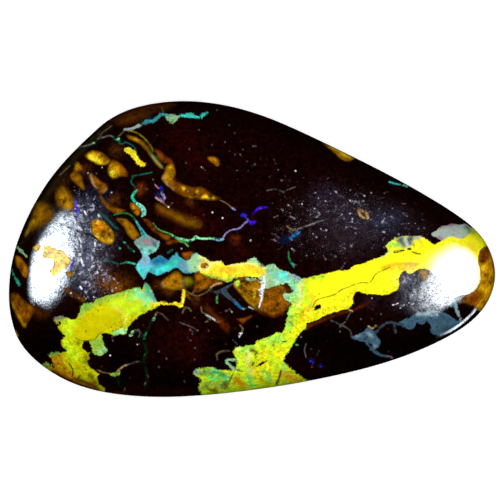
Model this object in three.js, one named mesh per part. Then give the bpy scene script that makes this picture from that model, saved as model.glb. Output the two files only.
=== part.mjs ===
// A polished boulder opal: one natural stone, ground to a free teardrop outline with a low dome in front
// and a flat back. The opal bands and the ironstone around them are one body and differ only in colour.
// Millimetres. The origin is on the flat back, under the middle of the stone's box. +X runs along the
// stone to its narrow end, +Y across it, and +Z out of the domed face.

import * as THREE from 'three';

// Driving dimensions of the stone: its height, and the edge band that stands upright under the dome
const stoneHeight = 4.8;
const girdleTop = 0.95;
const girdleBottom = 0.35;

// The back's edge is bevelled: the flat back is this share of the rim's size
const backShare = 0.96;

// The dome is a superellipse from its summit to the rim: 2 is an ellipse, more is flatter on top
const domeFullness = 2.15;
const summit = new THREE.Vector2(-1.2, -0.3);

// The rim seen from above, clockwise from the middle of the blunt end
const rimPoints = [
  [-12.0, -2.1], [-11.67, 0.06], [-10.61, 2.46], [-9.24, 4.35], [-7.7, 5.87], [-7.0, 6.42],
  [-5.76, 6.98], [-3.6, 7.3], [-1.34, 7.1], [0.96, 6.42], [3.63, 5.22],
  [6.32, 3.89], [8.41, 2.75], [10.21, 1.62], [11.47, 0.42], [12.0, -1.2],
  [11.55, -2.74], [10.27, -3.97], [8.11, -5.06], [5.63, -5.88], [2.81, -6.51],
  [-0.3, -7.0], [-4.0, -7.3], [-7.21, -7.08], [-9.52, -6.3], [-11.2, -4.95],
  [-11.85, -3.56],
].map(([x, y]) => new THREE.Vector2(x, y));

// How finely the form is faceted
const stepsPerRimPoint = 4;
const domeRows = 18;

// Item of a closed list, counted round past either end
function around(list, index) {
  return list[(index + list.length) % list.length];
}

// Control points of the closed cubic B-spline that passes through all the given points
function splineThrough(points) {
  const passes = 40;
  let control = points.map((point) => point.clone());
  for (let pass = 0; pass < passes; pass += 1) {
    control = control.map((point, i) => {
      const reached = around(control, i - 1).clone()
        .addScaledVector(point, 4)
        .add(around(control, i + 1))
        .divideScalar(6);
      return point.clone().add(points[i]).sub(reached);
    });
  }
  return control;
}

// Place on that spline, t of the way from one point to the next
function splinePlace(control, index, t) {
  const rest = 1 - t;
  return new THREE.Vector2()
    .addScaledVector(around(control, index - 1), rest ** 3 / 6)
    .addScaledVector(around(control, index), (3 * t ** 3 - 6 * t ** 2 + 4) / 6)
    .addScaledVector(around(control, index + 1), (3 * rest ** 3 - 6 * rest ** 2 + 4) / 6)
    .addScaledVector(around(control, index + 2), t ** 3 / 6);
}

// The rim as a closed ring of places, counter-clockwise from above
function rimRing() {
  const control = splineThrough(rimPoints);
  const ring = [];
  for (let index = 0; index < control.length; index += 1) {
    for (let step = 0; step < stepsPerRimPoint; step += 1) {
      ring.push(splinePlace(control, index, step / stepsPerRimPoint));
    }
  }
  return ring.reverse();
}

// Level rows of the stone, from just under its summit, over the rim, to the edge of its back:
// each is a copy of the rim, drawn towards the summit to a share of its size, and set at a height
function levelRows() {
  const rows = [];
  const rise = stoneHeight - girdleTop;
  for (let row = 1; row <= domeRows; row += 1) {
    const angle = (row / domeRows) * (Math.PI / 2);
    rows.push({
      share: Math.sin(angle) ** (2 / domeFullness),
      height: girdleTop + rise * Math.max(Math.cos(angle), 0) ** (2 / domeFullness),
    });
  }
  rows.push({ share: 1, height: girdleBottom });
  rows.push({ share: backShare, height: 0 });
  return rows;
}

// The closed skin: a fan at the summit, bands between the rows, and a fan on the flat back
function stoneGeometry() {
  const ring = rimRing();
  const rows = levelRows();
  const positions = [summit.x, summit.y, stoneHeight];
  const faces = [];
  for (const { share, height } of rows) {
    for (const place of ring) {
      const at = summit.clone().lerp(place, share);
      positions.push(at.x, at.y, height);
    }
  }
  positions.push(summit.x, summit.y, 0);

  const top = 0;
  const back = positions.length / 3 - 1;
  const vertex = (row, column) => 1 + row * ring.length + (column % ring.length);
  const lastRow = rows.length - 1;
  for (let column = 0; column < ring.length; column += 1) {
    faces.push(top, vertex(0, column), vertex(0, column + 1));
    for (let row = 0; row < lastRow; row += 1) {
      faces.push(vertex(row, column), vertex(row + 1, column), vertex(row + 1, column + 1));
      faces.push(vertex(row, column), vertex(row + 1, column + 1), vertex(row, column + 1));
    }
    faces.push(back, vertex(lastRow, column + 1), vertex(lastRow, column));
  }

  const geometry = new THREE.BufferGeometry();
  geometry.setAttribute('position', new THREE.Float32BufferAttribute(positions, 3));
  geometry.setIndex(faces);
  geometry.computeVertexNormals();
  return geometry;
}

// Near-black maroon ironstone with a wet-looking polish
function stoneMaterial() {
  return new THREE.MeshStandardMaterial({ color: 0x2a1409, roughness: 0.15, metalness: 0 });
}

const boulderOpal = new THREE.Group();
const stone = new THREE.Mesh(stoneGeometry(), stoneMaterial());
stone.name = 'stone';
boulderOpal.add(stone);

export default boulderOpal;
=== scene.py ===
import math

import bpy
import numpy as np
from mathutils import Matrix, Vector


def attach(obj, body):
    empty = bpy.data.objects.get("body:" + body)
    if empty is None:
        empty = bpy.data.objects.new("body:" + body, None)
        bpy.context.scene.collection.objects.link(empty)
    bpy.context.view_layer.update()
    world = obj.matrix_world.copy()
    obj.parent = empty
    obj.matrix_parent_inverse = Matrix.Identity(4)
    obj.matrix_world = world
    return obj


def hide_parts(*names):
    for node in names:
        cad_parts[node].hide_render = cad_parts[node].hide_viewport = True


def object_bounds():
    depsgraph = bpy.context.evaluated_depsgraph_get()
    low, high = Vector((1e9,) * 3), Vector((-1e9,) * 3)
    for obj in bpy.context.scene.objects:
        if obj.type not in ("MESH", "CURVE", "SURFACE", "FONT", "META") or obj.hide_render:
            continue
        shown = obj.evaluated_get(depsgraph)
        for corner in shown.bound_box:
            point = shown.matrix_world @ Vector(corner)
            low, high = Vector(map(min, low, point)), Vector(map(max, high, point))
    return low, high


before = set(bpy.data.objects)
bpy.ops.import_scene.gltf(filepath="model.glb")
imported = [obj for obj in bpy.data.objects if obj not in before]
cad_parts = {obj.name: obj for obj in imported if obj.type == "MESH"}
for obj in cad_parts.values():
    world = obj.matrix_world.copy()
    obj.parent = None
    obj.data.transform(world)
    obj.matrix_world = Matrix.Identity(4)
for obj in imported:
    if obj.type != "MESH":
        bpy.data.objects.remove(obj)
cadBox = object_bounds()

millimetre = 0.001

# How the photograph sees the stone: straight from above, from far away.
# All markings below are placed in its pixels, and one pixel is this wide at the stone's rim.
photoView = {
    "pixel": 24.0 / 486,          # mm
    "middle": (252.0, 249.0),     # pixel over the frame's origin
    "centre": (250.0, 250.0),     # pixel in the middle of the picture
    "width": 500,
    "lens": 300.0,                # mm
    "sensor": 36.0,               # mm
    "sees": (0.01, 5),            # m, nearest and farthest
}
pixel = photoView["pixel"]
perPixel = 1 / (pixel * millimetre)
cameraX = (photoView["centre"][0] - photoView["middle"][0]) * pixel
cameraY = (photoView["middle"][1] - photoView["centre"][1]) * pixel
cameraDistance = photoView["width"] * pixel * photoView["lens"] / photoView["sensor"]

# The stone's form, in mm, as in the frame
stoneForm = {
    "girdleTop": 0.95,
    "girdleBottom": 0.35,
    "backShare": 0.96,            # size of the flat back against the rim
    "domeFullness": 2.15,         # 2 is an ellipse, more is flatter on top
    "summit": (-1.2, -0.3),
    "reach": 9.6,                 # usual distance from the summit to the rim
    "faceStep": 0.0755,           # distance between points on the face
    "steepWeight": 0.45,          # how much height counts in that distance
    "edgeShare": 0.97,            # past this share of the rim's size, points on the face are
    "edgeSpread": 1.25,           # this much farther apart
    "sideStep": 0.11,
    "sideRows": 5,
    "bevelRows": 4,
    "bevelSpread": 1.3,
    "backStep": 0.26,
    "waveHeight": 0.006,          # unevenness of the polish
    "waveLength": 2.6,
    "waveFade": 1.2,              # height over the girdle in which it fades out
    "lean": 0.9,                  # how far bands move along the side for each step down
    "leanLength": 7.0,
    "undersideFade": 6,           # pixels in from the edge, where markings are gone from the back
    "seed": 7,
}
summit = np.array(stoneForm["summit"])
stoneHeight = cadBox[1][2] / millimetre
domeRise = stoneHeight - stoneForm["girdleTop"]

# Colours by name, as red, green and blue from 0 to 255
tones = {
    # The violet, blue and plum ironstone tones are painted sheen: the lamps' glow mirrored in the polish.
    # The cinder tone is painted shade along the steep rim.
    "iron": (17, 2, 1), "blackIron": (5, 1, 1), "redIron": (29, 3, 2), "violetIron": (34, 24, 34),
    "blueIron": (28, 28, 46), "oliveIron": (46, 35, 14), "brownIron": (70, 34, 4), "greyIron": (84, 74, 78),
    "plumIron": (32, 18, 22), "greenIron": (4, 26, 10), "rimShadeIron": (14, 6, 6), "cream": (236, 228, 176),
    # The pale gold is partly a painted highlight: ochre clay lit up inside the left lamp's reflection.
    "creamGold": (242, 226, 130), "highlitGold": (250, 208, 98), "gold": (222, 180, 26),
    "deepGold": (186, 134, 8), "brownGold": (142, 96, 4), "ochre": (172, 106, 4), "deepOchre": (132, 76, 2),
    "tan": (176, 142, 92), "dimTan": (104, 84, 50), "brown": (112, 62, 2), "umber": (74, 36, 2),
    "redBrown": (92, 34, 6), "rust": (124, 56, 10), "orange": (206, 120, 6), "orangeBrown": (138, 70, 6),
    "amber": (204, 148, 4), "yellow": (250, 226, 40), "warmYellow": (246, 204, 40), "lemon": (255, 250, 26),
    "paleYellow": (246, 246, 130), "straw": (230, 226, 76), "dimPearl": (118, 146, 138),
    "spring": (104, 232, 92), "eyeGold": (214, 206, 4), "chartreuse": (206, 242, 34),
    "lime": (176, 240, 80), "leaf": (150, 190, 60), "greenGold": (196, 204, 8), "olive": (120, 110, 8),
    "oliveGold": (204, 194, 2), "mint": (128, 226, 160), "paleGreen": (158, 208, 150),
    "jade": (84, 160, 76), "emerald": (30, 120, 54), "teal": (40, 178, 140), "deepTeal": (12, 84, 74),
    "cyan": (66, 226, 210), "aqua": (62, 160, 168), "paleAqua": (128, 216, 190), "sky": (120, 196, 226),
    "blue": (30, 108, 158), "greyBlue": (112, 160, 178), "slate": (64, 96, 116), "darkSlate": (52, 66, 78),
    "paleSlate": (134, 160, 166), "pearl": (166, 182, 172), "paleGrey": (206, 206, 208),
    "dimGrey": (110, 112, 104), "rose": (158, 120, 134), "lilac": (134, 128, 186),
    # The pale lilac is for painted glints: pits and specks catching the lamps.
    "glintLilac": (186, 184, 204), "violet": (66, 14, 214), "vividBlue": (50, 36, 222), "navy": (18, 26, 62),
    "white": (236, 240, 250),
}

# Clay and limonite in the ironstone: tone, softness of the edge in pixels, and the closed outline
clayPatches = {
    "rimBand": ("oliveIron", 4, [(19, 246), (28, 222), (40, 198), (55, 176), (72, 155), (92, 135),
        (106, 123), (112, 127), (97, 141), (80, 158), (64, 178), (50, 198), (37, 216), (28, 238)]),
    "topBand": ("brownIron", 3, [(110, 119), (124, 111.5), (142, 105), (160, 102), (174, 101.5), (177, 105),
        (168, 110), (156, 113), (147, 118), (136, 124), (122, 127), (114, 124)]),
    "topBandCore": ("umber", 4, [(120, 117), (134, 110.5), (138, 116), (134, 123), (124, 124)]),
    "capsule": ("deepGold", 1.2, [(85, 156), (88, 152.5), (93, 150.5), (98, 151), (104, 154), (108, 157.5),
        (110.5, 161), (107, 164.5), (100, 165), (93, 162), (87, 158.5)]),
    "capsuleCore": ("gold", 2.0, [(87, 156), (93, 155), (99, 158), (103, 163), (98, 164), (92, 161)]),
    "roundInclusion": ("deepOchre", 1.2, [(110, 162), (113, 159.5), (119, 162), (124, 167), (128, 173),
        (127, 177), (121, 176.5), (116, 178), (111, 177.5), (108.5, 172), (108, 166)]),
    "inclusionCore": ("deepGold", 2.5, [(109, 168), (112, 163), (117, 165), (120, 171), (118, 176),
        (113, 178), (109.5, 174)]),
    "brightDrop": ("gold", 2.0, [(108.5, 170), (112, 168), (116, 171), (116, 176), (112, 177.5),
        (109, 174)]),
    "smallOchre": ("ochre", 1.4, [(76.5, 161.5), (80.5, 164), (83, 169), (78, 172), (74.5, 170),
        (75, 165)]),
    "brownNeighbour": ("brownGold", 1.4, [(70, 175), (75, 171), (80, 174), (82.5, 180), (84.5, 186),
        (85, 189.5), (81, 189), (75.5, 183), (71, 179)]),
    "claySlab": ("deepOchre", 1.2, [(90.5, 173), (96, 176.5), (101, 181), (106.5, 184), (107.5, 189),
        (103, 193.5), (99, 193.5), (94.5, 188), (90.5, 182), (88.5, 177)]),
    "slabTail": ("deepOchre", 1.2, [(99, 192), (103, 198.5), (108, 203), (114, 206.5), (121, 209),
        (126, 210), (119, 213.5), (111, 211.5), (105, 206.5), (100, 200)]),
    "grainyLobe": ("deepGold", 1.0, [(91, 222), (95.5, 219), (100, 219.5), (105, 222), (109, 226.5),
        (113, 232), (114.5, 238), (112, 244), (105, 243.5), (98, 240.5), (92.5, 235), (90.5, 228)]),
    "orangeDrop": ("ochre", 1.0, [(130.5, 202.5), (135, 204.5), (139, 208), (140.5, 213), (137.5, 216),
        (133.5, 212.5), (130.5, 207.5)]),
    "ochreLeaf": ("brownGold", 1.2, [(116, 219), (121, 218), (126, 219), (131, 223), (135.5, 228.5),
        (139.5, 235), (138, 239), (133.5, 240), (128, 234.5), (123, 226)]),
    "redLeaf": ("rust", 1.4, [(142.5, 218.5), (147, 219), (152, 223), (157, 229.5), (158, 234), (153, 231),
        (147.5, 225.5)]),
    "redLeafTail": ("deepOchre", 2, [(157, 231), (164, 233.5), (171, 236.5), (167, 240), (160, 236.5)]),
    "leftPatch": ("brownGold", 3, [(57, 188.5), (63, 186.5), (68.5, 190), (73, 197), (75, 205), (73, 211),
        (66, 210.5), (60, 208), (56.5, 202), (55.5, 195)]),
    "rimPatch": ("brownGold", 4, [(36, 203), (43, 202.5), (50, 206), (53, 213), (50, 221.5), (43, 226),
        (36, 228.5), (31, 232), (30, 224), (32, 213)]),
    "rimStreak": ("gold", 1.6, [(25.5, 236), (27.5, 229), (31, 222), (34, 219), (34.5, 222), (31, 227),
        (29, 232.5)]),
    "rimStain": ("ochre", 1.2, [(15.5, 256), (20, 257), (24.5, 262), (28, 268), (28, 275), (24.5, 278),
        (20.5, 272), (16, 264)]),
    "wedge": ("deepOchre", 1.4, [(10, 295), (14.5, 292.5), (19, 294.5), (23.5, 299.5), (29.5, 304),
        (35.5, 308), (36, 312), (32, 316.5), (29, 321), (25, 328), (21, 323), (16, 314), (12, 306)]),
    "wedgeEdge": ("deepGold", 1.2, [(11, 300), (13.5, 304), (18, 312.5), (23, 321), (26, 325), (25, 328),
        (21, 323.5), (16, 314.5), (12, 306.5)]),
    "wedgeBeyond": ("umber", 5, [(35, 304), (44, 309), (51, 315), (45, 319), (36, 318), (32, 313)]),
    # The matte spots lie in the left lamp's reflection; their pale gold is ochre clay with a painted
    # highlight.
    "matteSpot": ("highlitGold", 0.8, [(43.5, 245), (47, 244.3), (51, 247), (57, 249), (63, 251), (66, 254.5),
        (70, 258.5), (71.3, 261), (69, 264.5), (67, 268), (62, 269.5), (59.5, 272.5), (56, 275.5),
        (53.5, 277.8), (51, 274.5), (50, 270), (53, 267), (53.8, 262), (51.5, 259), (48, 258),
        (43.5, 258.3), (42.3, 254), (43.3, 249)]),
    "matteSpotSmall": ("highlitGold", 0.8, [(33, 247), (36, 245), (39.5, 244.5), (40.2, 248), (38, 251.6),
        (34, 250.5)]),
    "matteSpotLow": ("deepGold", 0.8, [(65.5, 273), (69, 271.5), (73, 271), (73.6, 274), (70, 277),
        (66.5, 276)]),
    "upperSpot": ("ochre", 1.2, [(207.5, 157), (213, 156.6), (218, 159), (219.5, 163.5), (217, 166.5),
        (213.5, 163.5), (209.5, 161)]),
    "upperRimPatch": ("deepGold", 1.2, [(322, 143), (332, 146), (342, 150.5), (354, 157), (350.5, 161),
        (344, 161), (338.5, 157), (331, 150)]),
    "redGrain": ("brown", 2.0, [(61, 287), (65, 287.5), (73, 291), (79.5, 295), (85, 298.5), (84, 302),
        (79, 301), (72, 296.5), (66.5, 292.5)]),
    "ochreTriangle": ("orangeBrown", 1.2, [(181.5, 253), (187, 251.8), (193.5, 252), (190.5, 257.5),
        (186.5, 261), (183.5, 257.5)]),
    "smallWedge": ("orangeBrown", 1.6, [(166, 242.5), (171, 239.8), (178, 239.5), (180, 242), (173, 243.5),
        (168, 245)]),
    "lowTriangle": ("orangeBrown", 1.2, [(236, 319), (245, 317.5), (252.5, 315.5), (247.5, 320), (243, 324),
        (240, 321.5)]),
    "redStreak": ("redBrown", 2.6, [(206, 307), (210, 308), (218, 315), (226, 320.5), (230.5, 328),
        (228, 333), (223, 329.5), (216, 321.5), (210, 314.5)]),
    "midPatch": ("deepOchre", 2.0, [(194.5, 274), (199, 271), (208, 275), (217, 279), (223, 281.5),
        (220, 285), (211, 286), (206, 289), (199, 292), (193.5, 291), (194.5, 283)]),
    "midCorner": ("olive", 2.6, [(183.5, 277), (190, 277.5), (193.5, 281), (191, 286), (185, 287)]),
    "leftMidPatch": ("brownGold", 1.6, [(161, 281.5), (167.5, 276.5), (175, 271.5), (180.5, 272.5),
        (183, 279.5), (184.5, 288), (190, 296), (192, 300), (186, 297), (181, 290), (173, 290.5),
        (166.5, 288.5), (161, 287)]),
    "bigPatch": ("brownGold", 1.2, [(234, 281), (238, 278), (246, 277), (258, 279), (264, 284), (266, 289),
        (275, 286), (283, 285), (290, 290), (294, 291.5), (290, 293), (285, 292.5), (283.5, 297),
        (288, 301), (291.5, 303), (288.5, 308), (284, 312), (275, 315.5), (266, 313.5), (257, 309.5),
        (250, 304.5), (243, 297.5), (237, 290.5), (233.5, 285.5)]),
    "bigPatchRight": ("deepOchre", 2.6, [(266, 290), (276, 287), (284, 289), (284, 298), (290, 303),
        (287, 309), (280, 313.5), (269, 313), (262, 308), (263, 298)]),
    "bigPatchFinger": ("umber", 1.6, [(283, 284), (287, 283), (290, 287), (294, 291), (290, 293),
        (286, 291)]),
    "bigPatchFoot": ("rust", 2.4, [(250, 305), (258, 309), (268, 313.5), (276, 314), (284, 311),
        (283, 314.5), (274, 317), (263, 314), (254, 309.5)]),
    "bandClay": ("brownGold", 1.4, [(126.5, 135), (133, 136), (140, 139), (147, 145), (152, 152),
        (157, 159), (163, 166), (161.5, 169), (156, 164.5), (150.5, 157), (145, 149.5), (137, 142.5),
        (129, 139)]),
    "bandOrange": ("rust", 1.6, [(154, 148.5), (160, 150.5), (166, 156), (171.5, 160), (174.5, 166),
        (172, 168), (167.5, 164), (161.5, 161.5), (157, 155.5)]),
    "bandJunction": ("brownGold", 1.2, [(166, 166), (171, 164), (175, 168), (175.5, 174), (174, 179.5),
        (178, 183), (176.5, 187), (170, 187.5), (164.5, 183.5), (161.5, 178.5), (164.5, 172)]),
    "bandTail": ("brown", 1.4, [(168, 183), (175, 178.5), (182, 183.5), (190, 186.5), (197, 187),
        (203, 187.5), (209, 191.5), (215, 195.5), (221, 198.5), (214, 200.5), (205, 200), (197, 199),
        (189, 198), (181, 195.5), (173, 190.5)]),
    "grainCloud": ("brownGold", 4.5, [(157, 205), (166, 208), (178, 214), (190, 218), (201, 223),
        (198, 227), (186, 225), (173, 219), (162, 213)]),
    "tanHorn": ("tan", 2.2, [(420, 270), (424.5, 268), (429, 271), (428, 277), (425, 281), (421, 280),
        (419, 275)]),
    "crescent": ("amber", 1.4, [(487, 244), (482, 248.5), (479, 254), (477.5, 262), (479, 270), (480, 279),
        (477.5, 286), (472.5, 290.5), (467, 294.5), (461, 298.5), (462, 301.5), (468, 304), (474, 306.5),
        (480, 311), (486, 305), (492, 294), (494.5, 280), (493.5, 264), (490, 252)]),
    "crescentTop": ("rust", 4, [(486, 246), (481, 251), (479, 258), (481, 264), (487, 262), (490, 255)]),
    "crescentFoot": ("orangeBrown", 4, [(461, 299), (470, 294), (477, 290), (482, 292), (480, 300),
        (475, 306), (466, 303)]),
    # Painted shade: a dark red-brown band where the steep lower rim turns away from the light.
    "lowRimShade": ("redBrown", 2.6, [(48, 369), (58, 375), (74, 382.5), (92, 388.5), (110, 391.5), (124, 392),
        (126, 396), (100, 393), (78, 387), (56, 378)]),
    "redUnderline": ("redBrown", 1.4, [(303, 326), (312, 322), (320, 319.5), (328, 316), (336, 313),
        (344, 310.5), (352, 309.5), (361, 304.5), (369, 301), (370, 303), (362, 308), (352, 312),
        (346, 313.5), (338, 315.5), (330, 319), (322, 322.5), (314, 326), (306, 330)]),
    "navyStain": ("navy", 2.4, [(278, 239), (283, 236.5), (288, 238), (290, 242), (285, 244), (280, 243)]),
}

# Colours laid softly over the clay: tone, radius and places
clayShades = {
    "capsuleGlow": ("yellow", 3.2, [(91, 157), (98, 161)]),
    "capsuleEdge": ("brown", 3.0, [(103, 155.5), (107, 159)], [(97, 151)]),
    "dropGlow": ("yellow", 3.0, [(112, 174)]),
    "smallOchreGlow": ("gold", 2.4, [(77.5, 165)]),
    "smallOchreFoot": ("brown", 2.6, [(76, 175)], [(79, 181)]),
    "slabEdge": ("tan", 1.1, [(90, 174), (93, 183), (98, 190)], [(103, 197), (109, 202)], [(104, 193),
        (107, 189)]),
    "lobeGlow": ("orange", 4.0, [(98, 225)], [(104, 229)]),
    "lobeShade": ("brown", 3.0, [(104, 232)], [(110, 234)]),
    "lobeGrit": ("paleYellow", 0.9, [(96, 236)], [(98, 222)], [(110, 240)], [(111, 230)]),
    "leafShade": ("umber", 2.5, [(122, 222)], [(137, 237)]),
    "leftPatchGlow": ("deepGold", 4.0, [(62, 198)], [(66, 206)]),
    "rimStainHeart": ("brown", 2.6, [(21, 266)]),
    "rimStreakGlow": ("deepGold", 1.4, [(27, 232), (31, 224)]),
    "wedgeShade": ("brown", 4.0, [(24, 306)], [(29, 312)]),
    "upperRimGlow": ("gold", 2.0, [(333, 147), (350, 157.5)]),
    "bigPatchGreen": ("brownGold", 3.0, [(253, 284), (253, 298)], [(241, 284), (243, 291)]),
    "bigPatchEdge": ("deepGold", 1.6, [(243, 297), (250, 303.5), (257, 308.5)], [(235, 284), (240, 292)]),
    "bigPatchTan": ("gold", 1.2, [(255, 289), (254, 297)]),
    "midPatchGlow": ("ochre", 3.0, [(198, 277)], [(203, 287)]),
    "midPatchShade": ("umber", 3.0, [(199, 283)], [(213, 281)]),
    "leftMidGlow": ("ochre", 3.0, [(172, 277)], [(176, 284)]),
    "leftMidTan": ("tan", 0.9, [(161, 282), (164, 286)], [(183, 281), (184, 288)]),
    "bandGlow": ("deepGold", 2.2, [(130, 137), (138, 140.5)], [(166, 177)], [(171, 168)]),
    "bandRidge": ("tan", 1.0, [(137, 133.5), (144, 139), (150, 147.5)], [(152, 156), (158, 164),
        (163, 168)], [(164, 172), (162, 178), (167, 184.5), (173, 190)]),
    "bandGreen": ("jade", 1.8, [(153, 153), (157, 160)], [(162, 164.5)]),
    "tailSpeckle": ("gold", 1.5, [(183, 188), (184, 189)], [(191, 197)], [(205, 196), (208, 198)],
        [(197, 192)], [(213, 198)], [(203, 197)]),
    "tailShade": ("brown", 2.0, [(178, 188)], [(188, 193)], [(200, 195)], [(211, 193)]),
    "crescentGrit": ("deepOchre", 2.2, [(481, 272)], [(484, 283)], [(488, 275)], [(470, 300)]),
    "crescentGlow": ("gold", 2.4, [(483, 268)], [(486, 290)]),
}

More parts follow.
